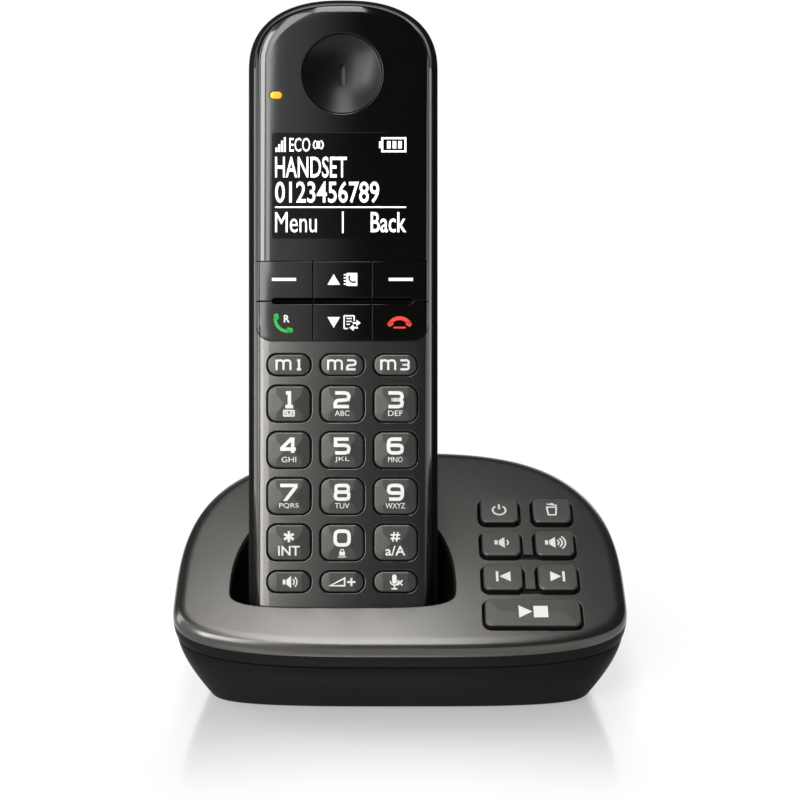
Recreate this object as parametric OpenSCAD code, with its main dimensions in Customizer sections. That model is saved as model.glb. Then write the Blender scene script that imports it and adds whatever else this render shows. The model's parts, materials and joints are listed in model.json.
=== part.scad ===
// Cordless phone: a handset standing in a charging base with an answering machine.
// Millimetres. X runs across, Y from front to back, Z is up and z = 0 is the desk.
// Handset pieces are drawn upright (x across, y depth behind the face, z up the
// handset) and then leaned into the base. Lid pieces are drawn flat (y up the slope,
// z off the parting plane) and then tilted.

/* [Handset housing] */
// Width over the rear shell
handset_w = 50; // [47:0.5:56]
// Length from the bottom end to the top of the arch
handset_l = 169.5; // [166:0.5:185]
// Thickness from the face to the back
handset_t = 26; // [25:0.5:30]
// Lean of the docked handset from upright
lean = 21; // [17:0.5:25]
// Height of the arch at the top end
top_arch = 19; // [16:0.5:24]
// Squareness of the arch at the top end
top_power = 2.4; // [2:0.1:3]
// Height of the rounded corners at the bottom end
foot_arch = 14; // [13:0.5:18]
// Depth of the parting line between the two shells
split_depth = 8; // [7.6:0.1:9]
// Inset of the flat face from the widest outline
face_edge = 3.8; // [3.4:0.1:4.2]
// Step of the front shell behind the rear shell at the parting line
split_step = 1.4; // [1.2:0.1:1.6]
// Depth where the back begins to round off
back_start = 14; // [12:0.5:15]
// Inset of the flat back from the widest outline
back_edge = 11; // [10:0.5:11.5]
// Wall of the two handset shells
handset_wall = 1.8; // [1.5:0.1:2]
// Thickness of the key plate in the front shell
plate_t = 2.2; // [2:0.1:2.4]

/* [Window and earpiece] */
// Width of the rim of the front shell around the window
window_rim = 1.2; // [1:0.1:1.4]
// Thickness of the window
window_t = 1.5; // [1.3:0.1:1.7]
// Width of the shelf that carries the window
shelf_w = 1.5; // [1.2:0.1:2]
// Radius of the earpiece dish
dish_r = 10.35; // [9:0.1:11.5]
// Depth of the earpiece dish
dish_depth = 2.3; // [1.8:0.1:2.5]
// Earpiece centre below the top end
dish_from_top = 20.9; // [20:0.1:24]
// Length of the sound slot
slot_l = 5.8; // [4:0.2:8]
// Width of the sound slot
slot_w = 1.3; // [0.9:0.1:1.8]
// Width of the event light
led_w = 3.2; // [2.6:0.1:4]
// Height of the event light
led_h = 1.9; // [1.6:0.1:2.2]
// Event light to the left of the centre line
led_x = 17.2; // [16:0.2:17.6]
// Event light below the top end
led_from_top = 26.5; // [24:0.1:28]
// Width of the display glass
lcd_w = 37; // [34:0.5:38]
// Bare window between the flush keys and the display glass
lcd_low_gap = 5.6; // [4.5:0.1:7]
// Bare window between the display glass and the earpiece
lcd_top_gap = 4.75; // [4.5:0.05:7]

/* [Handset keys] */
// Handset length at which the rows have the heights given below
drawn_l = 169.5; // [166:0.5:185]
// Width of a key cap
key_w = 11.1; // [10:0.1:11.6]
// Height of a digit key cap
key_h = 9.2; // [8.4:0.1:9.6]
// Height of a memory or function key cap
small_key_h = 5.3; // [4.8:0.1:5.6]
// Corner radius of a key cap
key_r = 2.4; // [1.5:0.1:2.6]
// Spacing of the key columns
key_pitch_x = 13.8; // [13.6:0.1:14]
// Spacing of the digit rows
key_pitch_z = 12; // [11.8:0.1:12.1]
// Lowest digit row above the bottom end
star_row_z = 26.9; // [26.6:0.1:27.1]
// Function row above the bottom end
function_row_z = 16.7; // [16.4:0.1:16.9]
// Memory row above the bottom end
memory_row_z = 73; // [72.8:0.1:73.2]
// Radius of the domed cap tops
dome_r = 45; // [35:1:80]
// Height of a cap over the face
key_proud = 0.6; // [0.4:0.1:0.9]
// Lower edge of the six flush keys above the bottom end
flush_low = 79.2; // [78.8:0.1:79.6]
// Height of one flush key
flush_h = 10.35; // [10.2:0.05:10.5]
// Half width of the middle column of flush keys
nav_split = 7.6; // [7:0.1:8.2]
// Radius of the lower corners of the flush keys
nav_r = 4.4; // [3:0.1:5]
// Gap round each handset key
key_gap = 0.3; // [0.3:0.05:0.4]

/* [Handset insides] */
// Depth of the circuit board
board_depth = 6.2; // [6.2:0.1:6.6]
// Thickness of the circuit boards
board_t = 1.2; // [1:0.1:1.6]
// Length of one cell
cell_l = 44.5; // [43:0.1:45]
// Diameter of one cell
cell_d = 10.4; // [10:0.1:10.6]
// Lower end of the battery bay above the bottom end
bay_low = 55; // [54:0.5:57]
// Half width of the battery cover
cover_half = 13.9; // [13.6:0.1:14]
// Thickness of the battery cover
cover_t = 2; // [1.8:0.1:2.2]
// Radius of the ringer loudspeaker
ringer_r = 10; // [8:0.5:10.5]
// Ringer centre above the bottom end
ringer_z = 126; // [125:0.5:128]
// Half spacing of the charging contacts
contact_x = 9; // [7:0.5:12]
// Depth of the charging contacts behind the face
contact_depth = 13; // [12:0.5:14]

/* [Base housing] */
// Width of the base
base_w = 118.4; // [116:0.2:130]
// Length of the lid along its slope
base_len = 75.4; // [75:0.2:86]
// Distance of the widest point from the front of the lid
widest_at = 18.7; // [17:0.1:20]
// Squareness of the front of the outline
front_power = 3.3; // [2.8:0.1:3.6]
// Squareness of the rear of the outline
rear_power = 2.9; // [2.7:0.05:3.2]
// Slope of the lid
slope = 19.6; // [17:0.2:22]
// Height of the parting line at the front
split_z = 16.6; // [16:0.1:19]
// Height of the lid over the parting line
lid_h = 8.3; // [8.2:0.1:10]
// Height of the widest line of the lid
lid_belly = 3.4; // [3:0.1:4]
// Inset of the flat top of the lid
lid_edge = 4.4; // [4:0.1:6]
// Inset of the lid at the parting line
lid_bulge = 0.6; // [0.4:0.1:1.2]
// Inset of the underside at the front and sides
tuck = 8.9; // [7:0.1:9.6]
// Bend of the side walls towards the underside
tuck_power = 1.5; // [1.2:0.1:1.8]
// Rounded edge of the underside
tuck_edge = 1; // [0.5:0.1:1.5]
// Inset of the underside at the rear
rear_tuck = 1.5; // [1:0.1:4]
// Wall of the base shells
base_wall = 2; // [1.8:0.1:2.2]
// Height of the rubber feet under the base
foot_h = 0.5; // [0.5:0.1:1.5]

/* [Cradle] */
// Handset centre line from the middle of the base
handset_x = -15; // [-16:0.5:-14]
// Front edge of the pocket up the slope
pocket_front = 14.8; // [14.4:0.1:16]
// Gap in front of the docked handset
pocket_gap = 0.8; // [0.8:0.1:1.2]
// Length of the handset face that is hidden in the pocket
dock_depth = 10.5; // [9:0.1:10.7]
// Room beside the handset at the widest part of the pocket
pocket_side = 4.2; // [3.4:0.1:4.6]
// Room behind the handset
pocket_rear = 5.6; // [5.2:0.1:6]
// Depth of the widest part of the pocket behind the handset face
pocket_wide = 4.6; // [3:0.1:5]
// Wall of the pocket liner
liner_t = 1.4; // [1.2:0.1:1.6]
// Gap under the docked handset
rest_gap = 0.5; // [0.4:0.1:0.8]
// Radius of a charging pin
pin_r = 1.1; // [0.9:0.1:1.3]

/* [Base keys] */
// Width of a base key
base_key_w = 10.5; // [10:0.1:11]
// Length of a base key up the slope
base_key_l = 9.2; // [8.4:0.1:9.6]
// Corner radius of a base key
base_key_r = 1.8; // [1:0.1:2.4]
// Left column from the middle of the base
base_col = 27.05; // [26.8:0.05:27.4]
// Spacing of the two columns
base_pitch_x = 14.35; // [14.1:0.05:14.6]
// Lowest row up the slope
base_row = 11.6; // [11.3:0.1:12]
// Spacing of the rows
base_pitch_s = 12.5; // [12.3:0.1:12.6]
// Height of a base key over the lid
base_key_proud = 1.4; // [1:0.1:1.8]
// Gap round each base key
base_key_gap = 0.45; // [0.4:0.05:0.5]
// Tilt of the two rockers to each side
rocker_tilt = 3; // [2:0.5:3]

/* [Base insides] */
// Radius of the base loudspeaker
speaker_r = 14; // [12:0.5:14.5]
// Half spacing of the two sockets
jack_x = 9; // [8:0.5:10]
// Width of a socket
jack_w = 12; // [11:0.5:13]
// Height of a socket
jack_h = 11; // [10:0.5:12]
// Depth of a socket
jack_d = 14; // [12:0.5:15]

/* [Hidden] */
$fn = 48;
fine_fn = 160;

// Overlap of solids that join, reach of a cut past a face, and the fits
weld = 0.2;
past = 1;
play = 0.3;
seat_gap = 0.15;
fit_gap = 0.1;

// Handset housing
half_w = handset_w / 2;
round_w = face_edge - split_step;
window_edge = split_step + window_rim;
back_in = handset_t - handset_wall;
skin_in = handset_t - 0.8 * handset_wall;
lip_in = 0.25;
lip_h = 1.2;
plate_ease = 0.7;
inner_ease = 0.4;

// Heights on the face follow the length of the handset
face_scale = handset_l / drawn_l;
nav_low = flush_low * face_scale;
nav_h = flush_h * face_scale;
memory_row = memory_row_z * face_scale;
function_row = function_row_z * face_scale;
key_rows = [for (r = [0:3]) (star_row_z + r * key_pitch_z) * face_scale];
window_low = nav_low + 2 * nav_h;
window_seam = 0.12;
dish_z = handset_l - dish_from_top;
led_z = handset_l - led_from_top;
led_body_r = 2.2;
led_body_t = 1.5;
led_stem_r = 0.8;
lcd_rim = 1.5;
lcd_glass = 0.5;
lcd_h = dish_z - dish_r - lcd_top_gap - window_low - lcd_low_gap;
lcd_z = window_low + lcd_low_gap + lcd_h / 2;

// Earpiece and microphone
cup_t = 2;
cup_lap = 1.3;
cup_rim = 0.3;
receiver_r = 7.5;
receiver_t = 3.4;
receiver_magnet = [5, 0.7];
mic_z = 7.5;
mic_hole = 0.6;
mic_r = 3;
mic_t = 2.5;
mic_base = [2, 0.6];

// Handset keys
key_flange = 0.6;
key_lap = 0.7;
key_travel = 0.7;
nav_travel = 0.5;
key_foot = plate_t + key_gap + key_flange;
mat_depth = key_foot + key_travel + play;
mat_t = 0.9;
mat_edge = 1;
mat_corner = 2;
plunger_r = 1.8;
groove_l = 36.6;
groove_w = 1.7;
groove_depth = 0.7;

// Screws of the handset
post_x = half_w - 6.5;
post_r = 2.2;
post_low = 9;
post_high = lcd_z + lcd_h / 2 + lcd_rim + 3;
pilot_r = 1.05;
screw_r = 1;
screw_bite = 4.2;
head_depth = split_depth + 4;
head_r = 1.8;
head_t = 1.5;
cross_l = 2.4;
cross_w = 0.5;
cross_depth = 0.7;
post_rib = [4, 1.6];
tube_end = handset_t - 3.8;

// Board, battery and ringer
board_back = board_depth + board_t;
board_side = 0.2;
board_end = 0.8;
board_corner = 1.5;
rib_w = 24;
rib_t = 1.2;
cover_gap = 0.3;
cover_lap = 2;
cover_r = 2;
bay_l = cell_l + 5;
bay_half = cell_d + 1.8;
bay_depth = handset_t - cover_t - cover_gap;
cover_l = bay_l + 2 * cover_lap;
board_ribs = [bay_low - 35, bay_low + bay_l + 6];
tray_depth = board_back + 2.9;
tray_wall = 1;
tray_skin = 1.2;
cell_x = cell_d / 2 + play;
cell_depth = bay_depth - 1 - cell_d / 2;
cell_button = [0.18 * cell_d, 0.8];
spring_h = 3.1;
spring_r = [3.6, 2];
strip_w = 8;
strip_t = 0.5;
grip = [12, 1];
grip_depth = 0.5;
grip_pitch = 2.2;
grip_start = 3;
ringer_t = 2;
ringer_magnet = [0.7 * ringer_r, 3];
ringer_wall = 1.4;
ringer_ring = 6;
hole_r = 0.7;
hole_pitch = 3;
contact_len = 6;
contact_w = 4;
contact_t = 0.7;
contact_tail = [3, 0.8, 7];

// Base housing
under_lid = lid_h - base_wall;
under_edge = lid_edge + 0.8;
wall_ease = 0.2;
floor_z = foot_h + base_wall;
foot_r = 5;
foot_seat = 0.8;
feet = [[-34, 21], [34, 21], [-20, 60], [20, 60]];

// Screws of the base
screw_x = 31;
screw_y = 55;
boss_r = 4;
boss_top = 9;
lid_post_r = 3.2;
lid_pilot_r = 1.35;
base_screw_r = 1.3;
base_screw_l = 12;
base_head_r = 2.5;
base_head_t = 1.8;
base_head_z = 2.4;
base_cross = [3.2, 0.7];

// Pocket and charging pins
rear_power_pocket = 2.2;
front_power_pocket = 3.9;
liner_half = half_w + pocket_side;
pocket_cut = base_len;
pin_gap = 0.35;
pin_l = 5.2;
pin_tip = 0.2;
collar_r = pin_r + 0.8;
collar_t = 0.8;
block_side = 4.5;
block_h = 7;
block_floor = 1.5;

// Base keys, their mat and their board
travel_base = 0.8;
rocker_half = base_pitch_x / 2 + base_key_w / 2 + 0.7;
rocker_drop = rocker_half * sin(rocker_tilt) + seat_gap;
rocker_bar = 5;
bridge_w = 1;
bridge_sink = 0.4;
flange_top = under_lid - play;
flange_t = 0.8;
flange_w = 0.9;
base_mat = flange_top - flange_t - max(travel_base, 2 * rocker_drop) - play;
base_mat_t = 1;
mat_margin = 2;
mat_top = 0.8;
mat_side = 1.5;
key_board_t = 1.6;
key_board_margin = 2;
peg_out = 3.2;
peg_r = 1.3;
peg_gap = 0.5;

// Loudspeaker of the base
speaker_x = base_col + 4;
speaker_y = 36;
speaker_rim = 2;
speaker_cone = 5;
speaker_h = 8;
speaker_wall = 1.4;
grille_r = 9;
grille_pitch = 4;
grille_w = 1.6;

// Sockets and main board
standoff_h = 1.7;
standoff_r = 2;
standoff_in = [4, 3];
board_top = floor_z + standoff_h + board_t;
jack_back = (base_len - lid_bulge - rear_tuck) * cos(slope) - 1.2;
jack_gap = 0.2;
jack_wall = 3;
jack_floor = 2;
latch = [3.2, 1];
line_plug_w = 9.8;
power_plug_w = 7.8;
plug_h = 6.8;
main_w = 2 * jack_x + jack_w + 16;
main_l = 14;
main_x = -main_w / 2 - 3;
main_y = jack_back - main_l - 5.8;

// Depth and inset of the outer surface of the front shell, flat face first
front_profile = [for (a = [0:15:90])
  [split_depth * (1 - cos(a)), split_step + round_w * (1 - sin(a))]];
// Depth and inset of the outer surface of the rear shell, parting line first
rear_profile = concat([[split_depth, lip_in], [split_depth + lip_h, 0]],
  [for (a = [0:15:90])
    [back_start + (handset_t - back_start) * sin(a), back_edge * (1 - cos(a))]]);
// Height and inset of the outer surface of the lid, flat top first
lid_profile = concat(
  [for (a = [90:-15:0]) [lid_belly + (lid_h - lid_belly) * sin(a), lid_edge * (1 - cos(a))]],
  [[0, lid_bulge]]);

// Place of the pocket edge and of the docked handset, from the front of the lid
edge_y = pocket_front * cos(slope) - lid_h * sin(slope);
edge_z = split_z + pocket_front * sin(slope) + lid_h * cos(slope);
dock_y = edge_y + pocket_gap * cos(lean) - dock_depth * sin(lean);
dock_z = edge_z - pocket_gap * sin(lean) - dock_depth * cos(lean);
front_reach = min([for (p = lid_profile) p[1] * cos(slope) - p[0] * sin(slope)]);
back_reach = dock_y
  + max([for (p = rear_profile) p[0] * cos(lean) + (handset_l - p[1]) * sin(lean)]);
lid_y = -(front_reach + back_reach) / 2;

KEYPAD = concat(
  [for (c = [0:2]) [["m1_key", "m2_key", "m3_key"][c], c - 1, memory_row, small_key_h]],
  [for (r = [0:2], c = [0:2])
    [str("digit_", 3 * r + c + 1, "_key"), c - 1, key_rows[3 - r], key_h]],
  [for (c = [0:2]) [["star_key", "digit_0_key", "hash_key"][c], c - 1, key_rows[0], key_h]],
  [for (c = [0:2])
    [["handsfree_key", "boost_key", "mute_key"][c], c - 1, function_row, small_key_h]]);
FLUSH = [["left_soft_key", -1, 1], ["up_key", 0, 1], ["right_soft_key", 1, 1],
  ["talk_key", -1, 0], ["down_key", 0, 0], ["end_key", 1, 0]];

// Signed power, for the squared ellipses
function spow(v, e) = sign(v) * pow(abs(v), e);

// Outline of the arched top end at an inset, as x and z
function arch(inset) = [for (k = [0:28]) let (a = 180 * k / 28)
  [(half_w - inset) * spow(cos(a), 2 / top_power),
   handset_l - top_arch + (top_arch - inset) * spow(sin(a), 2 / top_power)]];
// Outline of the bottom end at an inset, as x and z
function heel(inset) = [for (k = [0:20]) let (a = 180 + 180 * k / 20)
  [(half_w - inset) * spow(cos(a), 0.5), foot_arch + (foot_arch - inset) * spow(sin(a), 0.5)]];
function ring(inset, depth) = [for (p = concat(arch(inset), heel(inset))) [p[0], depth, p[1]]];
// Outline of the window seat, with rounded or square lower corners
function seat(inset, low, r) = concat(arch(inset),
  r == 0 ? [[inset - half_w, low], [half_w - inset, low]]
  : concat(
    [for (a = [180:15:270]) [inset - half_w + r + r * cos(a), low + r + r * sin(a)]],
    [for (a = [270:15:360]) [half_w - inset - r + r * cos(a), low + r + r * sin(a)]]));

// Outline of the base at a side inset and a rear inset, as x and distance up the slope
function base_outline(inset, rear) = [for (k = [0:79])
  let (a = 4.5 * k, e = 2 / (sin(a) < 0 ? front_power : rear_power))
  [(base_w / 2 - inset) * spow(cos(a), e),
   widest_at + (sin(a) < 0 ? widest_at - inset : base_len - widest_at - rear) * spow(sin(a), e)]];
function lid_ring(inset, h) = [for (p = base_outline(inset, inset)) [p[0], p[1], h]];
// One ring of the lower shell: u is 0 at the parting line and 1 at the underside
function bowl_ring(u, inset, low) = [
  for (p = base_outline(lid_bulge + inset + tuck * pow(u, tuck_power),
                        lid_bulge + inset + rear_tuck * pow(u, tuck_power)))
  [p[0], lid_y + p[1] * cos(slope), low + (split_z + p[1] * sin(slope) - low) * (1 - u)]];
// Outline of the pocket, as x and depth behind the handset face
function pocket(grow) = [for (k = [0:59])
  let (a = 6 * k, e = 2 / (sin(a) < 0 ? front_power_pocket : rear_power_pocket))
  [(liner_half + grow) * spow(cos(a), e),
   pocket_wide + grow * spow(sin(a), e) + (sin(a) < 0 ? pocket_wide + pocket_gap
     : handset_t + pocket_rear - pocket_wide) * spow(sin(a), e)]];

// A closed skin through rings of equal length, flat at both ends
module skin(rings) {
  n = len(rings[0]);
  m = len(rings);
  polyhedron(
    points = [for (r = rings) each r],
    faces = concat(
      [[for (k = [n - 1:-1:0]) k]],
      [for (j = [0:m - 2], k = [0:n - 1], half = [0, 1]) let (q = (k + 1) % n)
        half == 0 ? [j * n + k, j * n + q, j * n + n + q]
        : [j * n + k, j * n + n + q, j * n + n + k]],
      [[for (k = [0:n - 1]) (m - 1) * n + k]]));
}

module rounded(w, h, r) {
  square([w - 2 * r, h], center = true);
  square([w, h - 2 * r], center = true);
  for (x = [-1, 1], y = [-1, 1]) translate([x * (w / 2 - r), y * (h / 2 - r)]) circle(r);
}

module pill(w, h) {
  square([w - h, h], center = true);
  for (x = [-1, 1]) translate([x * (w - h) / 2, 0]) circle(h / 2);
}

// A cross-shaped driver recess
module cross(size) {
  square(size, center = true);
  rotate(90) square(size, center = true);
}

// A slab drawn in the front view of the handset, between two depths
module slab(near, far) translate([0, far, 0]) rotate([90, 0, 0]) linear_extrude(far - near)
  children();

// From the upright handset to its place in the base
module docked() translate([handset_x, lid_y + dock_y, dock_z]) rotate([-lean, 0, 0]) children();

// From the flat lid to its place on the base
module on_lid() translate([0, lid_y, split_z]) rotate([slope, 0, 0]) children();

// All the room under a plane that lies a height over the parting plane
module below_lid(h) on_lid() translate([-base_w, -base_len, h - 2 * base_len])
  cube([2 * base_w, 3 * base_len, 2 * base_len]);

// Screw places of the handset and of the base
module at_posts() for (x = [-1, 1], z = [post_low, post_high]) translate([x * post_x, z])
  children();
module at_bosses() for (x = [-1, 1]) translate([x * screw_x, lid_y + screw_y, 0]) children();

module handset_front_shell() color("dimgray") docked() difference() {
  union() {
    skin(concat([for (p = front_profile) ring(p[1], p[0])],
      [ring(split_step + handset_wall, split_depth),
       ring(split_step + handset_wall + plate_ease, plate_t)]));
    slab(plate_t - weld, split_depth) at_posts() circle(post_r);
    for (x = [-1, 1]) slab(split_depth - post_rib[0], split_depth)
      translate([x * (post_x + post_r + play), post_high]) square(post_rib, center = true);
  }
  slab(-past, window_t) polygon(seat(window_edge - seat_gap, nav_low - seat_gap, nav_r));
  slab(-past, plate_t + past) polygon(seat(window_edge + shelf_w, window_low + shelf_w, 0));
  slab(-past, plate_t + 2 * past) intersection() {
    polygon(seat(window_edge - seat_gap, nav_low - seat_gap, nav_r));
    translate([-half_w, 0]) square([2 * half_w, window_low]);
  }
  for (k = KEYPAD) slab(-past, plate_t + past) translate([k[1] * key_pitch_x, k[2]])
    rounded(key_w + 2 * key_gap, k[3] + 2 * key_gap, key_r + key_gap);
  slab(-past, plate_t + past) translate([0, mic_z]) circle(mic_hole);
  slab(split_depth - screw_bite - play, split_depth + past) at_posts() circle(pilot_r);
}

module handset_rear_shell() color("black") docked() difference() {
  union() {
    skin(concat(
      [for (a = [90:-30:0]) ring(
        handset_wall + (back_edge + inner_ease - handset_wall) * (1 - cos(a)),
        back_start + (back_in - back_start) * sin(a))],
      [ring(handset_wall + lip_in, split_depth)],
      [for (p = rear_profile) ring(p[1], p[0])]));
    // Screw tubes, battery bay, ribs under the board and ring of the ringer
    slab(split_depth, tube_end) at_posts() circle(post_r + weld);
    slab(tray_depth, skin_in) translate([0, bay_low + bay_l / 2])
      square([2 * (cover_half + cover_gap + tray_wall), cover_l + 2 * (cover_gap + tray_wall)],
        center = true);
    for (z = board_ribs) slab(board_back + fit_gap, skin_in) translate([0, z])
      square([rib_w, rib_t], center = true);
    slab(handset_t - ringer_ring, skin_in) translate([0, ringer_z]) circle(ringer_r + ringer_wall);
  }
  slab(tray_depth + tray_skin, handset_t + past) translate([-bay_half, bay_low])
    square([2 * bay_half, bay_l]);
  slab(bay_depth, handset_t + past) translate([0, bay_low + bay_l / 2])
    rounded(2 * (cover_half + cover_gap), cover_l + 2 * cover_gap, cover_r);
  slab(handset_t - ringer_ring - past, back_in) translate([0, ringer_z]) circle(ringer_r + weld);
  slab(back_in - past, handset_t + past) translate([0, ringer_z]) {
    circle(hole_r);
    for (a = [0:60:300]) rotate(a) translate([hole_pitch, 0]) circle(hole_r);
    for (a = [0:30:330]) rotate(a) translate([2 * hole_pitch, 0]) circle(hole_r);
  }
  slab(split_depth - past, handset_t + past) at_posts() circle(screw_r + seat_gap);
  slab(head_depth, handset_t + past) at_posts() circle(head_r + weld);
  for (x = [-1, 1]) translate([x * contact_x - contact_len / 2 - fit_gap,
    contact_depth - contact_w / 2 - fit_gap, -past])
    cube([contact_len + 2 * fit_gap, contact_w + 2 * fit_gap, handset_wall + 2 * past]);
}

module display_window() color("black") docked() difference() {
  skin(concat(
    [for (k = [0:3]) let (a = k * asin(1 - (window_edge - split_step) / round_w) / 3,
        p = seat(split_step + round_w * (1 - sin(a)), window_low + window_seam, 0))
      [for (q = p) [q[0], split_depth * (1 - cos(a)), q[1]]]],
    [[for (q = seat(window_edge, window_low + window_seam, 0)) [q[0], window_t, q[1]]]]));
  slab(-past, window_t + past) translate([0, dish_z]) circle(dish_r + seat_gap);
  slab(-past, window_t + past) translate([-led_x, led_z])
    pill(led_w + 2 * fit_gap, led_h + 2 * fit_gap);
}

module earpiece_cup() color("black") docked() difference() {
  union() {
    slab(seat_gap, window_t + cup_t) translate([0, dish_z]) circle(dish_r);
    slab(window_t + fit_gap, window_t + cup_t) translate([0, dish_z]) circle(dish_r + cup_lap);
  }
  bowl = (pow(dish_r - cup_rim, 2) + pow(dish_depth, 2)) / (2 * dish_depth);
  translate([0, seat_gap + dish_depth - bowl, dish_z]) sphere(bowl, $fn = fine_fn);
  slab(-past, window_t + cup_t + past) translate([0, dish_z]) rotate(90) pill(slot_l, slot_w);
}

module earpiece_receiver() color("silver") docked() translate([0, 0, dish_z]) {
  near = window_t + cup_t + fit_gap;
  slab(near, near + receiver_t) circle(receiver_r);
  slab(near + receiver_t, near + receiver_t + receiver_magnet[1]) circle(receiver_magnet[0]);
}

module event_light() color("gold") docked() translate([-led_x, 0, led_z]) {
  slab(-fit_gap, window_t) pill(led_w, led_h);
  slab(window_t + fit_gap, window_t + fit_gap + led_body_t) circle(led_body_r);
  slab(window_t - fit_gap, window_t + 2 * fit_gap) circle(led_stem_r);
}

module display_module() color("darkslategray") docked() translate([0, 0, lcd_z]) {
  glass = window_t + weld;
  slab(glass, glass + lcd_glass) square([lcd_w, lcd_h], center = true);
  slab(glass + lcd_glass, board_depth - weld)
    square([lcd_w + 2 * lcd_rim, lcd_h + 2 * lcd_rim], center = true);
}

module handset_keymat() color("gray") docked() {
  low = function_row - small_key_h / 2 - mat_edge;
  high = window_low - mat_edge;
  slab(mat_depth, mat_depth + mat_t) translate([0, (low + high) / 2])
    rounded(2 * (key_pitch_x + key_w / 2), high - low, mat_corner);
  slab(mat_depth + mat_t - weld, board_depth) {
    for (k = KEYPAD) translate([k[1] * key_pitch_x, k[2]]) circle(plunger_r);
    for (k = FLUSH) translate([k[1] * 2 * nav_split, nav_low + (k[2] + 0.5) * nav_h])
      circle(plunger_r);
  }
}

module handset_board() color("green") docked() slab(board_depth, board_back)
  translate([0, (post_low + post_high) / 2]) rounded(2 * (post_x - board_side),
    post_high - post_low - 2 * (post_r + board_end), board_corner);

module microphone() color("silver") docked() translate([0, 0, mic_z]) {
  near = plate_t + fit_gap;
  slab(near, near + mic_t) circle(mic_r);
  slab(near + mic_t, near + mic_t + mic_base[1]) circle(mic_base[0]);
}

module ringer() color("silver") docked() translate([0, 0, ringer_z]) {
  slab(back_in - ringer_t, back_in - fit_gap) circle(ringer_r);
  slab(back_in - ringer_t - ringer_magnet[1], back_in - ringer_t) circle(ringer_magnet[0]);
}

module battery_cells() color("seagreen") docked() for (x = [-1, 1])
  translate([x * cell_x, cell_depth, bay_low + strip_t + spring_h]) {
    cylinder(d = cell_d, h = cell_l - cell_button[1]);
    cylinder(r = cell_button[0], h = cell_l);
  }

module battery_contacts() color("silver") docked() for (x = [-1, 1])
  translate([x * cell_x, cell_depth, bay_low]) {
    for (z = [0, bay_l - strip_t - fit_gap]) translate([-strip_w / 2, -strip_w / 2, z])
      cube([strip_w, strip_w, strip_t]);
    translate([0, 0, strip_t - fit_gap]) cylinder(r1 = spring_r[0], r2 = spring_r[1], h = spring_h);
  }

module battery_cover() color("black") docked() difference() {
  slab(handset_t - cover_t, handset_t) translate([0, bay_low + bay_l / 2])
    rounded(2 * cover_half, cover_l, cover_r - cover_gap);
  for (k = [0:3]) slab(handset_t - grip_depth, handset_t + past)
    translate([0, bay_low + bay_l - grip_start - k * grip_pitch]) pill(grip[0], grip[1]);
}

module handset_contacts() color("gold") docked() for (x = [-1, 1])
  translate([x * contact_x, contact_depth, seat_gap]) {
    translate([-contact_len / 2, -contact_w / 2, 0]) cube([contact_len, contact_w, contact_t]);
    translate([-contact_tail[0] / 2, -contact_tail[1] / 2, contact_t / 2]) cube(contact_tail);
  }

module handset_screws() color("silver") docked() difference() {
  union() {
    slab(split_depth - screw_bite, head_depth) at_posts() circle(screw_r);
    slab(head_depth, head_depth + head_t) at_posts() circle(head_r);
  }
  slab(head_depth + head_t - cross_depth, head_depth + head_t + past) at_posts()
    cross([cross_l, cross_w]);
}

// One key of the keypad: a domed cap, its stem and the flange under the plate
module keypad_key(k) color("dimgray") docked() translate([k[1] * key_pitch_x, 0, k[2]]) {
  intersection() {
    slab(-key_proud - past, key_foot) rounded(key_w, k[3], key_r);
    translate([0, dome_r - key_proud, 0]) sphere(dome_r, $fn = fine_fn);
  }
  slab(key_foot - key_flange, key_foot) rounded(key_w + 2 * key_lap, k[3] + 2 * key_lap, key_r);
}

// One of the six flush keys under the window
module flush_key(k) color("black") docked() {
  left = k[1] < 0 ? window_edge - half_w : (k[1] - 0.5) * 2 * nav_split + seat_gap;
  right = k[1] > 0 ? half_w - window_edge : (k[1] + 0.5) * 2 * nav_split - seat_gap;
  low = nav_low + k[2] * (nav_h + fit_gap);
  edge = asin(1 - (window_edge - split_step) / round_w);
  reach = nav_r + past;
  difference() {
    intersection() {
      skin([for (j = [0:4]) let (
          a = min(j, 3) * edge / 3,
          x = half_w - split_step - round_w * (1 - sin(a)),
          d = j < 4 ? split_depth * (1 - cos(a)) : mat_depth - nav_travel - play)
        [[x, d, window_low + reach], [-x, d, window_low + reach],
         [-x, d, nav_low - reach], [x, d, nav_low - reach]]]);
      slab(-past, mat_depth) difference() {
        translate([left, low]) square([right - left, nav_h - 2 * fit_gap]);
        if (k[2] == 0 && k[1] != 0) difference() {
          translate([k[1] * (half_w - window_edge) - nav_r, low - nav_r])
            square([2 * nav_r, 2 * nav_r]);
          translate([k[1] * (half_w - window_edge - nav_r), low + nav_r]) circle(nav_r);
        }
      }
    }
    slab(-past, groove_depth) translate([0, nav_low + nav_h]) pill(groove_l, groove_w);
  }
}

module at_key(column, row) translate([base_col + column * base_pitch_x,
  base_row + row * base_pitch_s, 0]) children();

// Opening for one base key, drawn flat
module key_hole(w) translate([0, 0, lid_belly]) linear_extrude(lid_h)
  rounded(w + 2 * base_key_gap, base_key_l + 2 * base_key_gap, base_key_r + base_key_gap);

// Bridge between the two caps of a rocker, or with a gap its slot in the lid
module bridge(gap, low, high) translate([-base_pitch_x / 2, -base_key_l / 2 - gap, low])
  cube([base_pitch_x, bridge_w + 2 * gap, high - low]);

// Places of the four pegs beside the keys that carry the key board
module at_pegs() for (c = [-1, 1], r = [0.7, 2.5])
  translate([base_col + base_pitch_x / 2 + c * (base_pitch_x / 2 + base_key_w / 2 + peg_out),
    base_row + r * base_pitch_s, 0]) children();

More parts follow.
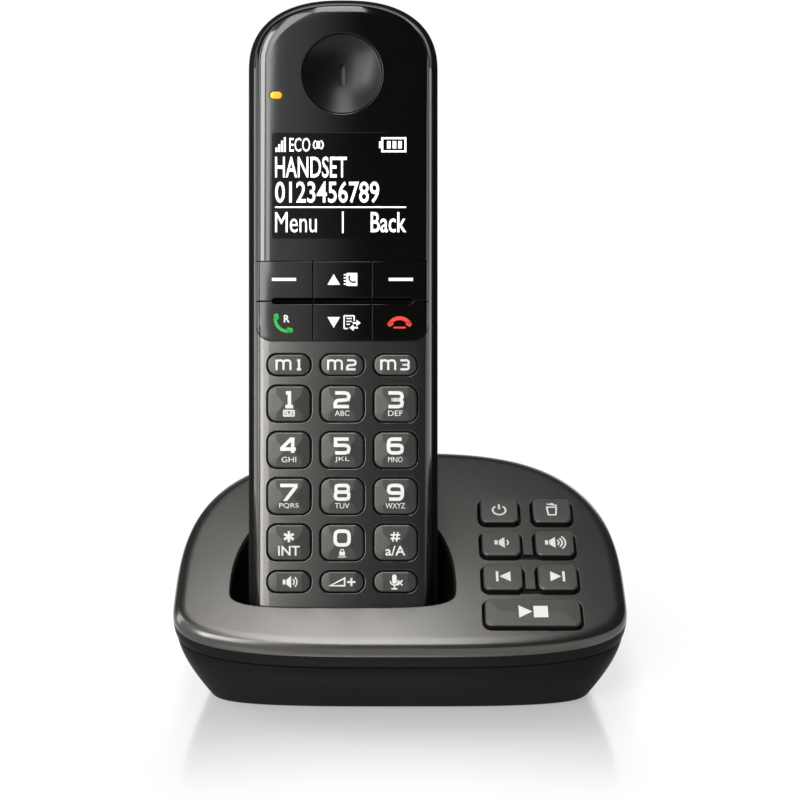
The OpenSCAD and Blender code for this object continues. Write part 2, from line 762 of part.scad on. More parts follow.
module base_upper_shell() color("dimgray") difference() {
  union() {
    on_lid() skin(concat([for (p = lid_profile) lid_ring(p[1], p[0])],
      [lid_ring(lid_bulge + base_wall, 0), lid_ring(base_wall + wall_ease, lid_belly),
       lid_ring(base_wall + lid_edge * (1 - cos(45)), lid_belly + (under_lid - lid_belly) * sin(45)),
       lid_ring(under_edge, under_lid)]));
    // Two screw posts and four pegs of the key board
    intersection() {
      at_bosses() translate([0, 0, boss_top]) cylinder(r = lid_post_r, h = base_len);
      below_lid(lid_h - base_wall / 2);
    }
    on_lid() at_pegs() translate([0, 0, base_mat - base_mat_t])
      cylinder(r = peg_r, h = under_lid + weld - base_mat + base_mat_t);
  }
  docked() linear_extrude(pocket_cut) polygon(pocket(0));
  on_lid() {
    for (c = [0, 1]) at_key(c, 3) key_hole(base_key_w);
    for (r = [1, 2]) at_key(0.5, r) {
      for (x = [-1, 1]) translate([x * base_pitch_x / 2, 0, 0]) key_hole(base_key_w);
      bridge(base_key_gap, under_lid - past, lid_h + past);
    }
    at_key(0.5, 0) key_hole(base_key_w + base_pitch_x);
  }
  at_bosses() translate([0, 0, boss_top - past]) cylinder(r = lid_pilot_r, h = base_screw_l);
}

module base_lower_shell() color("black") difference() {
  union() {
    skin(concat([for (u = [1, 0.75, 0.45, 0.2, 0]) bowl_ring(u, base_wall, floor_z)],
      [for (u = [0, 0.1, 0.25, 0.45, 0.7, 0.94]) bowl_ring(u, 0, foot_h)],
      [bowl_ring(1, tuck_edge, foot_h)]));
    // Screw bosses, standoffs of the main board and ring of the loudspeaker
    at_bosses() translate([0, 0, foot_h + past]) cylinder(r = boss_r, h = boss_top - foot_h - past);
    for (x = [main_x + standoff_in[0], main_x + main_w - standoff_in[0]],
         y = [main_y + standoff_in[1], main_y + main_l - standoff_in[1]])
      translate([x, lid_y + y, floor_z - weld]) cylinder(r = standoff_r, h = standoff_h + weld);
    translate([speaker_x, lid_y + speaker_y, floor_z - weld])
      cylinder(r = speaker_r + speaker_wall, h = speaker_rim + weld);
  }
  translate([speaker_x, lid_y + speaker_y, floor_z]) cylinder(r = speaker_r + play, h = speaker_h);
  for (x = [-2:2]) translate([speaker_x + grille_pitch * x, lid_y + speaker_y, 0])
    linear_extrude(speaker_h) rotate(90)
      pill(2 * sqrt(pow(grille_r, 2) - pow(grille_pitch * x, 2)), grille_w);
  at_bosses() translate([0, 0, -past]) {
    cylinder(r = base_screw_r + weld, h = boss_top + 2 * past);
    cylinder(r = base_head_r + play, h = base_head_z + base_head_t + past);
  }
  for (p = feet) translate([p[0], lid_y + p[1], -past])
    cylinder(r = foot_r + fit_gap, h = foot_h + foot_seat + past);
  for (x = [-1, 1]) translate([x * jack_x - jack_w / 2 - jack_gap, lid_y + jack_back - jack_d / 2,
    board_top - jack_gap]) cube([jack_w + 2 * jack_gap, jack_d, jack_h + 2 * jack_gap]);
}

module cradle_liner() color("black") difference() {
  intersection() {
    docked() translate([0, 0, -rest_gap - liner_t]) linear_extrude(pocket_cut)
      polygon(pocket(liner_t));
    below_lid(under_lid);
  }
  docked() translate([0, 0, -rest_gap]) linear_extrude(pocket_cut) polygon(pocket(0));
  docked() for (x = [-1, 1]) translate([x * contact_x, contact_depth, -pin_l])
    cylinder(r = pin_r + pin_gap, h = 2 * pin_l);
}

module contact_block() color("dimgray") docked() translate([0, contact_depth, -rest_gap - liner_t])
  difference() {
    translate([-contact_x - block_side, -block_side, -block_h])
      cube([2 * (contact_x + block_side), 2 * block_side, block_h]);
    for (x = [-1, 1]) translate([x * contact_x, 0, 0]) {
      translate([0, 0, block_floor - block_h]) cylinder(r = collar_r + 2 * weld, h = block_h);
      translate([0, 0, -block_h - past]) cylinder(r = pin_r + pin_gap, h = block_h);
    }
  }

// One sprung charging pin with its collar under the pocket floor
module pin(side) color("gold") docked() translate([side * contact_x, contact_depth, 0]) {
  foot = -rest_gap - liner_t - pin_l;
  tip = -pin_tip - pin_r;
  translate([0, 0, foot]) cylinder(r = pin_r, h = tip - foot);
  translate([0, 0, tip]) sphere(pin_r);
  translate([0, 0, -rest_gap - liner_t - 1.5 * collar_t]) cylinder(r = collar_r, h = collar_t);
}
module left_pin() pin(-1);
module right_pin() pin(1);

// A single base key: cap, stem and a flange that keeps to the flat underside of the lid
module base_key(column, row, w) color("dimgray") on_lid() translate([0, 0, flange_top - flange_t]) {
  linear_extrude(lid_h + base_key_proud - flange_top + flange_t) at_key(column, row)
    rounded(w, base_key_l, base_key_r);
  linear_extrude(flange_t) intersection() {
    at_key(column, row) rounded(w + 2 * flange_w, base_key_l + 2 * flange_w, base_key_r);
    polygon(base_outline(under_edge, under_edge));
  }
}

// Two caps joined below the lid that tip about the line between them
module rocker() {
  foot = flange_top - flange_t - rocker_drop;
  for (x = [-1, 1]) translate([x * base_pitch_x / 2, 0, foot])
    linear_extrude(lid_h + base_key_proud - foot) rounded(base_key_w, base_key_l, base_key_r);
  translate([-base_pitch_x / 2, -rocker_bar / 2, foot]) cube([base_pitch_x, rocker_bar, flange_t]);
  bridge(0, foot, lid_h - bridge_sink);
}

module power_key() base_key(0, 3, base_key_w);
module delete_key() base_key(1, 3, base_key_w);
module volume_rocker() color("dimgray") on_lid() at_key(0.5, 2) rocker();
module skip_rocker() color("dimgray") on_lid() at_key(0.5, 1) rocker();
module play_key() base_key(0.5, 0, base_key_w + base_pitch_x);

// Area under the base keys, drawn flat
module key_area(grow) intersection() {
  translate([base_col - base_key_w / 2 - mat_margin - grow,
    base_row - base_key_l / 2 - mat_margin - grow])
    square([base_pitch_x + base_key_w + 2 * (mat_margin + grow),
      3 * base_pitch_s + base_key_l + mat_margin + mat_top + grow]);
  polygon(base_outline(base_wall + lid_bulge + mat_side, base_wall + lid_bulge + mat_side));
}
module base_keymat() color("gray") on_lid() translate([0, 0, base_mat - base_mat_t])
  linear_extrude(base_mat_t) difference() {
    key_area(0);
    at_pegs() circle(peg_r + peg_gap);
  }
module key_board() color("green") on_lid() translate([0, 0, base_mat - base_mat_t - key_board_t])
  linear_extrude(key_board_t) key_area(key_board_margin);

module main_board() color("green") translate([main_x, lid_y + main_y, board_top - board_t])
  cube([main_w, main_l, board_t]);

// A modular socket that opens to the rear
module socket(side, w) translate([side * jack_x, lid_y + jack_back, board_top])
  difference() {
    translate([-jack_w / 2, -jack_d, 0]) cube([jack_w, jack_d, jack_h]);
    translate([-w / 2, jack_wall - jack_d, jack_floor]) cube([w, jack_d, plug_h]);
    translate([-latch[0] / 2, jack_wall - jack_d, jack_floor - latch[1]])
      cube([latch[0], jack_d, 2 * latch[1]]);
  }
module line_socket() color("black") socket(-1, line_plug_w);
module power_socket() color("dimgray") socket(1, power_plug_w);

module base_loudspeaker() color("silver")
  translate([speaker_x, lid_y + speaker_y, floor_z + fit_gap]) {
    cylinder(r = speaker_r, h = speaker_rim);
    cylinder(r1 = speaker_r - 1, r2 = speaker_r - 4, h = speaker_cone);
    cylinder(r = speaker_r / 2, h = speaker_h);
  }

module rubber_feet() color("black") for (p = feet) translate([p[0], lid_y + p[1], 0])
  cylinder(r = foot_r, h = foot_h + foot_seat);

module base_screws() color("silver") at_bosses() translate([0, 0, base_head_z]) difference() {
  union() {
    translate([0, 0, base_head_t]) cylinder(r = base_screw_r, h = base_screw_l);
    cylinder(r = base_head_r, h = base_head_t);
  }
  translate([0, 0, -past]) linear_extrude(past + base_head_t / 2) cross(base_cross);
}

handset_front_shell();
handset_rear_shell();
display_window();
earpiece_cup();
earpiece_receiver();
event_light();
display_module();
handset_keymat();
handset_board();
microphone();
ringer();
battery_cells();
battery_contacts();
battery_cover();
handset_contacts();
handset_screws();
for (k = KEYPAD) keypad_key(k);
for (k = FLUSH) flush_key(k);
base_upper_shell();
base_lower_shell();
cradle_liner();
contact_block();
left_pin();
right_pin();
power_key();
delete_key();
volume_rocker();
skip_rocker();
play_key();
base_keymat();
key_board();
main_board();
line_socket();
power_socket();
base_loudspeaker();
rubber_feet();
base_screws();
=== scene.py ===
"""Looks of a cordless telephone: housings, keys, printed legends, display and studio."""

import json
import math

import bmesh
import bpy
from mathutils import Matrix, Vector


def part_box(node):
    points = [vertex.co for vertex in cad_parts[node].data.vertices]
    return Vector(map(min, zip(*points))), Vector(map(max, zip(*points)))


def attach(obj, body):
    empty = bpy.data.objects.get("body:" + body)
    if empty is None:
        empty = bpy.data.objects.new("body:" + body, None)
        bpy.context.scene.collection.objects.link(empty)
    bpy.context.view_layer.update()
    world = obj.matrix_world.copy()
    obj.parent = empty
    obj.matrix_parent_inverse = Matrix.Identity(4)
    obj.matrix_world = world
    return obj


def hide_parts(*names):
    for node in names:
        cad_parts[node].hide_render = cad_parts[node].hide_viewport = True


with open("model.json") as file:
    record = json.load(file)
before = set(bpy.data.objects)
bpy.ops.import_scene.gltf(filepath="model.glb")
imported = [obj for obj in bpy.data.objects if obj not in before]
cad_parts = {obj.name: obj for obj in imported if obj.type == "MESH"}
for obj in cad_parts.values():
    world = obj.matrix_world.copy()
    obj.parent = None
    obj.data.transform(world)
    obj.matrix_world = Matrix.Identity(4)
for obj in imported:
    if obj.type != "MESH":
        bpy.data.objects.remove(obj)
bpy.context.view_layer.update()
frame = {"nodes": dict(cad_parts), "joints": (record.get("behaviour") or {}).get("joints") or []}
scene = bpy.context.scene
scene.view_settings.view_transform = "Standard"

MM = 0.001

# Handset sizes, in millimetres as all sizes of the object
HANDSET_L = 169.5
HANDSET_T = 26.0
HALF_W = 25.0
TOP_ARCH = 19.0
TOP_POWER = 2.4
FOOT_ARCH = 14.0
FOOT_POWER = 4.0
SPLIT_DEPTH = 8.0
FACE_EDGE = 3.8
FACE_ROUND = 2.4
FACE_ROUND_R = 12.0
SPLIT_STEP = 1.4
BACK_START = 14.0
BACK_EDGE = 11.0
HANDSET_WALL = 1.8
SKIN_IN = 0.05
PLATE_T = 2.2
PLATE_STEP = 0.7
WINDOW_EDGE = 2.6
WINDOW_T = 1.5
SHELF_W = 1.5
SEAT_GAP = 0.15
DISH_R = 10.35
DISH_DEPTH = 2.3
DISH_Y = HANDSET_L - 20.9
DISH_SINK = 0.15
DISH_RIM = 0.2
CUP_LIP = 0.3
CUP_BACK = 0.1
CUP_FLANGE = 1.3
CUP_DEEP = 2.0
WINDOW_FIT = 0.12
SLOT_L = 5.8
SLOT_W = 1.3
LED_W = 3.2
LED_H = 1.9
LED_X = -17.2
LED_Y = HANDSET_L - 26.5
LED_GAP = 0.1
LED_EDGE = 0.25
LED_DOME = 6.0
LED_PROUD = 0.1
LCD_W = 36.6
LCD_H = 27.6
LCD_Y = 119.5

# Handset keys
KEY_W = 11.1
KEY_H = 9.2
SMALL_KEY_H = 5.3
KEY_R = 2.4
KEY_PITCH_X = 13.8
KEY_ROWS = [62.9, 50.9, 38.9, 26.9]
MEMORY_ROW = 73.0
FUNCTION_ROW = 16.7
DOME_R = 45.0
KEY_PROUD = 0.6
KEY_GAP = 0.3
KEY_EDGE = 0.42
KEY_RIM = 0.28
KEY_FOOT = 3.1
NAV_LOW = 79.2
NAV_H = 10.35
NAV_R = 4.4
GROOVE_HALF = 1.0
GROOVE_REACH = 18.5
GROOVE_TOP = 0.1
FLUSH_EDGE = 0.1
WINDOW_LOW = NAV_LOW + 2 * NAV_H

# Handset back
BAY_LOW = 55.0
BAY_L = 49.5
BAY_HALF = 12.2
BAY_FLOOR = 10.3
BAY_SKIN = 1.2
BAY_RIM = 1.0
BAY_R = 0.6
BAY_RIM_R = 0.5
COVER_HALF = 13.9
COVER_LAP = 2.0
COVER_T = 2.0
COVER_GAP = 0.3
COVER_R = 2.0
COVER_EDGE = 0.25
RINGER_Y = 126.0
RINGER_HOLE = 0.7
RINGER_PITCH = 3.0
RINGER_PEG = 6.0
POST_X = 18.5
POST_ROWS = [9.0, 138.0]
POST_R = 2.4
POST_END = 3.8
HEAD_DEPTH = 12.0
HEAD_R = 2.0
MIC_Y = 7.5
MIC_R = 0.6
MIC_RIM = 0.15
BACK_T = 1.4
BACK_INNER = 0.4
LIP_STEP = 0.25
CONTACT_SLOT = (6.2, 4.0, 0.3)
CONTACT_LAP = 2.1

# Rolled rim of the earpiece: growth and rise
CUP_ROLL = [(-0.15, 0.02), (0.0, -0.12)]

# Rolled lip of the rear shell at the parting line: inset and drop
REAR_LIP = [(0.5, 0.0), (0.25, 0.12), (0.08, 0.35), (SKIN_IN, 0.8)]

# Base sizes
BASE_HALF = 59.2
BASE_LEN = 75.4
WIDEST_AT = 18.7
FRONT_POWER = 3.3
REAR_POWER = 2.9
SPLIT_Z = 16.6
LID_H = 8.3
LID_BELLY = 3.4
LID_EDGE = 4.4
LID_BULGE = 0.6
LID_POWER = 3.4
LID_FRONT_IN = 0.52
LID_SIDE_IN = 0.02
# Height under which the lid's side is painted dark, as shade under its rolled edge
LID_SHADE_BAND = 4.6
LID_INNER = 0.2
LID_ROOF = 0.8
LID_SHOULDER = (0.3, 0.7)
TUCK = 8.9
REAR_TUCK = 1.5
TUCK_POWER = 1.5
TUCK_EDGE = 1.0
EDGE_SHARE = 0.94
BASE_WALL = 2.0
FOOT_H = 0.5
FOOT_R = 5.0
FEET = [(-34, 21), (34, 21), (-20, 60), (20, 60)]

# Pocket for the handset
HANDSET_X = -15.0
POCKET_FRONT = 14.8
POCKET_GAP = 0.8
POCKET_WIDE = 4.6
POCKET_REAR = 5.6
POCKET_HALF = HALF_W + 4.2
POCKET_FRONT_POWER = 3.9
POCKET_REAR_POWER = 2.2
POCKET_EDGE = 0.7
POCKET_SHADE = 0.6
WALL_NEAR = 0.1
DOCK_DEPTH = 10.5
LINER_T = 1.4
LINER_FLOOR = [(-1.2, 0.0), (-0.35, 0.25), (0.0, 1.0)]
REST_GAP = 0.5
CONTACT_X = 9.0
CONTACT_DEPTH = 13.0
PIN_HOLE_R = 1.45
PIN_CUT = 5.0

# Base keys
BASE_KEY_W = 10.5
BASE_KEY_L = 9.2
BASE_KEY_R = 1.8
BASE_COL = 27.05
BASE_PITCH_X = 14.35
BASE_ROW = 11.6
BASE_PITCH_S = 12.5
BASE_KEY_PROUD = 1.4
BASE_KEY_GAP = 0.45
BASE_KEY_EDGE = 0.45
BASE_KEY_RIM = 0.3
BASE_KEY_DOME = 400.0
BRIDGE_W = 1.0
BRIDGE_SINK = 0.4
BRIDGE_R = 0.2
BASE_KEY_FOOT = 5.2
LEAST_CORNER = 0.05

# Base underside and rear
SPEAKER_ASIDE = 4.0
SPEAKER_X = BASE_COL + SPEAKER_ASIDE
SPEAKER_Y = 36.0
SPEAKER_REACH = 9.0
SPEAKER_PITCH = 4.0
SPEAKER_SLOT = 1.6
SCREW_X = 31.0
SCREW_Y = 55.0
SCREW_HOLE_R = 2.8
FOOT_SEAT = 0.8
FOOT_GAP = 0.1
JACK_X = 9.0
JACK_W = 12.4
JACK_H = 11.4
JACK_LOW = 5.2
JACK_R = 0.4
JACK_CUT = (60.0, 100.0)

# How far a cut runs past a face, the steps of a rounded rim, and points taken as one
PAST = 1.0
RIM_STEPS = 5
WELD = 1e-5

# Angles, in degrees, under which faces are shaded as one
SHADE_ANGLE = 32.0
CAP_ANGLE = 40.0
CUP_ANGLE = 25.0

# Steps of the curves
QUARTER_STEPS = 8
CORNER_STEPS = 6
ARCH_STEPS = 96
FOOT_STEPS = 72
FACE_STEPS = 6
FACE_EDGE_STEPS = 24
WINDOW_EDGE_STEPS = 8
BACK_STEPS = 18
BACK_INNER_STEPS = 12
DISH_STEPS = 16
BASE_STEPS = 224
LID_STEPS = 32
BOWL_STEPS = 24
BOWL_INNER_STEPS = 12

# Sides of the four corners of a box, counter-clockwise from the upper right
QUARTERS = [(1, 1), (-1, 1), (-1, -1), (1, -1)]

# Angles from the joints of the frame
joints = {joint["name"]: joint for joint in frame["joints"]}
lift = joints["handset_lift"]["axis"]
tip = joints["volume_tip"]["axis"]
LEAN = math.atan2(lift[1], lift[2])
SLOPE = math.atan2(tip[2], tip[1])
TILT = LEAN + SLOPE

# Places of the lid and of the docked handset
LID_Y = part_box("rubber_feet")[0].y / MM - (FEET[0][1] - FOOT_R)
edge_y = POCKET_FRONT * math.cos(SLOPE) - LID_H * math.sin(SLOPE)
edge_z = POCKET_FRONT * math.sin(SLOPE) + LID_H * math.cos(SLOPE)
DOCK_Y = edge_y + POCKET_GAP * math.cos(LEAN) - DOCK_DEPTH * math.sin(LEAN)
DOCK_Z = edge_z - POCKET_GAP * math.sin(LEAN) - DOCK_DEPTH * math.cos(LEAN)
DOCK = Matrix.Translation((HANDSET_X, LID_Y + DOCK_Y, SPLIT_Z + DOCK_Z))
SCALE = Matrix.Scale(MM, 4)

# Panel frames: x across, y up the panel and z out of it
FACE = SCALE @ DOCK @ Matrix.Rotation(math.radians(90) - LEAN, 4, "X")
UPRIGHT = SCALE @ DOCK @ Matrix.Rotation(-LEAN, 4, "X")
LID = SCALE @ Matrix.Translation((0, LID_Y, SPLIT_Z)) @ Matrix.Rotation(SLOPE, 4, "X")
DESK = SCALE @ Matrix.Translation((0, LID_Y, 0))


# Objects and meshes

def new_object(name, mesh):
    """A new object of the scene that holds the mesh."""
    piece = bpy.data.objects.new(name, mesh)
    scene.collection.objects.link(piece)
    return piece


def made_of(name, points, faces):
    """A new object from points and faces."""
    mesh = bpy.data.meshes.new(name)
    mesh.from_pydata(points, [], faces)
    return new_object(name, mesh)


def remove(piece):
    """Takes a helper object and its mesh out of the file."""
    mesh = piece.data
    bpy.data.objects.remove(piece)
    bpy.data.meshes.remove(mesh)


def bake(piece):
    """Turns the modifiers of a piece into its own mesh."""
    graph = bpy.context.evaluated_depsgraph_get()
    mesh = bpy.data.meshes.new_from_object(piece.evaluated_get(graph), depsgraph=graph)
    old = piece.data
    piece.modifiers.clear()
    piece.data = mesh
    bpy.data.meshes.remove(old)
    return piece


def grow(piece, tree, values):
    """Runs a Geometry Nodes tree on a piece and keeps the result as a plain mesh."""
    modifier = piece.modifiers.new(tree.name, "NODES")
    modifier.node_group = tree
    for item in tree.interface.items_tree:
        if item.in_out == "INPUT" and item.name in values:
            modifier[item.identifier] = values[item.name]
    return bake(piece)


def combine(piece, others, operation):
    """Cuts other objects out of a piece, or adds them to it, and removes them."""
    for other in others:
        modifier = piece.modifiers.new("combine", "BOOLEAN")
        modifier.operation = operation
        modifier.solver = "MANIFOLD"
        modifier.object = other
    bake(piece)
    for other in others:
        remove(other)
    return piece


def join(name, pieces):
    """One object that holds the meshes of several, with their materials."""
    sheet = bmesh.new()
    materials = []
    for piece in pieces:
        start = len(sheet.faces)
        shift = len(materials)
        materials.extend(piece.data.materials)
        sheet.from_mesh(piece.data)
        sheet.faces.ensure_lookup_table()
        for face in sheet.faces[start:]:
            face.material_index += shift
    mesh = bpy.data.meshes.new(name)
    for material in materials:
        mesh.materials.append(material)
    sheet.to_mesh(mesh)
    sheet.free()
    for piece in pieces:
        remove(piece)
    return new_object(name, mesh)


def smooth(piece, angle=SHADE_ANGLE):
    """Smooth shading between faces that meet at less than an angle, flat faces kept flat."""
    piece.data.shade_smooth()
    piece.data.set_sharp_from_angle(angle=math.radians(angle))
    modifier = piece.modifiers.new("even", "WEIGHTED_NORMAL")
    modifier.mode = "FACE_AREA"
    modifier.weight = 60
    modifier.keep_sharp = True
    return bake(piece)


def dress(piece, material):
    """Gives a piece one material."""
    piece.data.materials.clear()
    piece.data.materials.append(material)
    return piece


def seat(piece, place, body, nodes=()):
    """Puts a finished piece in its place, on its body, in the place of CAD nodes."""
    piece.data.transform(place)
    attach(piece, body)
    if nodes:
        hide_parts(*nodes)
    return piece


def loft(name, rings):
    """A closed skin through rings of equal length, flat at both ends, top ring first."""
    count = len(rings[0])
    points = [point for ring in rings for point in ring]
    faces = [tuple(range(count))]
    for row in range(len(rings) - 1):
        for k in range(count):
            here = row * count + k
            beside = row * count + (k + 1) % count
            faces.append((here, here + count, beside + count, beside))
    last = (len(rings) - 1) * count
    faces.append(tuple(reversed(range(last, last + count))))
    return made_of(name, points, faces)


# Outlines: each gives its points for a growth, counter-clockwise

def quarter_turns(steps, first=0):
    """Turns over a right angle in even steps, from a first one on."""
    return [math.radians(90 * k / steps) for k in range(first, steps + 1)]


def rounded_box(width, height, corner, middle=(0.0, 0.0), steps=QUARTER_STEPS):
    """Outline of a box with round corners."""
    def outline(growth):
        radius = corner + growth
        points = []
        for quarter, (x, y) in enumerate(QUARTERS):
            for k in range(steps + 1):
                turn = math.radians(90 * (quarter + k / steps))
                across = x * (width / 2 - corner) + radius * math.cos(turn)
                along = y * (height / 2 - corner) + radius * math.sin(turn)
                points.append((middle[0] + across, middle[1] + along))
        return points
    return outline


def disc(radius, middle=(0.0, 0.0), steps=64):
    """Outline of a circle."""
    def outline(growth):
        points = []
        for k in range(steps):
            turn = math.radians(360 * k / steps)
            across = middle[0] + (radius + growth) * math.cos(turn)
            points.append((across, middle[1] + (radius + growth) * math.sin(turn)))
        return points
    return outline


def squared(value, power):
    """Signed power, for squared ellipses."""
    return math.copysign(abs(value) ** (2 / power), value)


def arch(inset, steps=72):
    """The arched top end of the handset at an inset, from right to left."""
    points = []
    for k in range(steps + 1):
        turn = math.pi * k / steps
        across = (HALF_W - inset) * squared(math.cos(turn), TOP_POWER)
        rise = (TOP_ARCH - inset) * squared(math.sin(turn), TOP_POWER)
        points.append((across, HANDSET_L - TOP_ARCH + rise))
    return points


def window_outline(inset, low, corner=0.0):
    """The arched top end with straight sides down to a level, and round lower corners."""
    side = HALF_W - inset
    points = arch(inset)
    if corner == 0.0:
        return points + [(-side, low), (side, low)]
    for middle, start in ((corner - side, 180), (side - corner, 270)):
        for k in range(QUARTER_STEPS + 1):
            turn = math.radians(start + 90 * k / QUARTER_STEPS)
            across = middle + corner * math.cos(turn)
            points.append((across, low + corner + corner * math.sin(turn)))
    return points


def pocket_shape(front):
    """Power and reach of the pocket's outline before or behind its widest place."""
    if front:
        return POCKET_FRONT_POWER, POCKET_WIDE + POCKET_GAP
    return POCKET_REAR_POWER, HANDSET_T + POCKET_REAR - POCKET_WIDE


def pocket_outline(growth, steps=120):
    """The pocket across the handset and behind its face."""
    points = []
    for k in range(steps):
        turn = math.tau * k / steps
        power, reach = pocket_shape(math.sin(turn) < 0)
        across = (POCKET_HALF + growth) * squared(math.cos(turn), power)
        points.append((across, POCKET_WIDE + (reach + growth) * squared(math.sin(turn), power)))
    return points


def pocket_rise(depth, height):
    """How far up the handset the pocket wall at a depth meets a height over the lid plane."""
    start = DOCK_Z * math.cos(SLOPE) - DOCK_Y * math.sin(SLOPE)
    return (height - start + depth * math.sin(TILT)) / math.cos(TILT)


def pocket_on_lid(growth, height):
    """The pocket's outline at a height over the lid's parting plane, in the lid's frame."""
    start = DOCK_Y * math.cos(SLOPE) + DOCK_Z * math.sin(SLOPE)
    ring = []
    for across, depth in pocket_outline(growth):
        rise = pocket_rise(depth, height)
        along = start + depth * math.cos(TILT) + rise * math.sin(TILT)
        ring.append((HANDSET_X + across, along, height))
    return ring


def block(outline, levels):
    """A closed block through an outline that grows differently at each level, top first."""
    return loft("block", [[(x, y, z) for x, y in outline(growth)] for growth, z in levels])


def straight(outline, high, low):
    """A straight block over an outline."""
    return block(outline, [(0.0, high), (0.0, low)])


def rimmed(high, low, edge):
    """Levels of a cut through a face, whose rim is rounded off by an edge radius."""
    levels = [(edge, high + PAST)]
    for turn in quarter_turns(RIM_STEPS):
        levels.append((edge * (1 - math.sin(turn)), high - edge * (1 - math.cos(turn))))
    return levels + [(0.0, low)]


# Geometry Nodes

def new_tree(name, inputs):
    """A geometry tree with a geometry input and output and named inputs."""
    tree = bpy.data.node_groups.new(name, "GeometryNodeTree")
    tree.interface.new_socket("Geometry", in_out="INPUT", socket_type="NodeSocketGeometry")
    for label in inputs:
        tree.interface.new_socket(label, in_out="INPUT", socket_type="NodeSocketFloat")
    tree.interface.new_socket("Material", in_out="INPUT", socket_type="NodeSocketMaterial")
    tree.interface.new_socket("Geometry", in_out="OUTPUT", socket_type="NodeSocketGeometry")
    return tree, tree.nodes.new("NodeGroupInput").outputs


def feed(tree, socket, value):
    """Links a socket to an input, or sets it to a number."""
    if isinstance(value, bpy.types.NodeSocket):
        tree.links.new(value, socket)
    else:
        socket.default_value = value


def sum_of(tree, operation, *values):
    """The result of one Math node."""
    node = tree.nodes.new("ShaderNodeMath")
    node.operation = operation
    for socket, value in zip(node.inputs, values):
        feed(tree, socket, value)
    return node.outputs[0]


def point_value(tree, name):
    """A number that each point carries under a name."""
    node = tree.nodes.new("GeometryNodeInputNamedAttribute")
    node.data_type = "FLOAT"
    node.inputs["Name"].default_value = name
    return node.outputs["Attribute"]


def choose(tree, share, first, second):
    """The first value where share is 0 and the second where it is 1."""
    gap = sum_of(tree, "SUBTRACT", second, first)
    return sum_of(tree, "MULTIPLY_ADD", share, gap, first)


def bend(tree, value, power):
    """Signed power of 2 over a power, for squared ellipses."""
    size = sum_of(tree, "POWER", sum_of(tree, "ABSOLUTE", value), sum_of(tree, "DIVIDE", 2.0, power))
    return sum_of(tree, "MULTIPLY", sum_of(tree, "SIGN", value), size)


def end_tree(tree, inputs, geometry):
    """Realizes the geometry, gives it the material and ends the tree."""
    realize = tree.nodes.new("GeometryNodeRealizeInstances")
    paint = tree.nodes.new("GeometryNodeSetMaterial")
    tree.links.new(geometry, realize.inputs[0])
    tree.links.new(realize.outputs[0], paint.inputs["Geometry"])
    tree.links.new(inputs["Material"], paint.inputs["Material"])
    tree.links.new(paint.outputs[0], tree.nodes.new("NodeGroupOutput").inputs[0])
    return tree


def place_points(tree, inputs, x, y, z):
    """Sets each point to its place and ends the tree."""
    place = tree.nodes.new("ShaderNodeCombineXYZ")
    for socket, value in zip(place.inputs, (x, y, z)):
        feed(tree, socket, value)
    move = tree.nodes.new("GeometryNodeSetPosition")
    tree.links.new(inputs["Geometry"], move.inputs["Geometry"])
    tree.links.new(place.outputs[0], move.inputs["Position"])
    return end_tree(tree, inputs, move.outputs[0])


def housing_tree():
    """Rings of squared ellipses with different low and high ends."""
    tree, inputs = new_tree("housing_skin", [
        "Half Width", "Low Middle", "High Middle", "Low Reach", "High Reach",
        "Low Power", "High Power"])
    turn = point_value(tree, "turn")
    lower = point_value(tree, "lower")
    inset = point_value(tree, "inset")
    power = choose(tree, lower, inputs["High Power"], inputs["Low Power"])
    middle = choose(tree, lower, inputs["High Middle"], inputs["Low Middle"])
    reach = choose(tree, lower, inputs["High Reach"], inputs["Low Reach"])
    end_inset = choose(tree, lower, point_value(tree, "high_inset"), inset)
    spread = bend(tree, sum_of(tree, "COSINE", turn), power)
    stretch = bend(tree, sum_of(tree, "SINE", turn), power)
    across = sum_of(tree, "MULTIPLY", spread, sum_of(tree, "SUBTRACT", inputs["Half Width"], inset))
    run = sum_of(tree, "SUBTRACT", reach, end_inset)
    along = sum_of(tree, "MULTIPLY_ADD", stretch, run, middle)
    return place_points(tree, inputs, across, along, point_value(tree, "rise"))


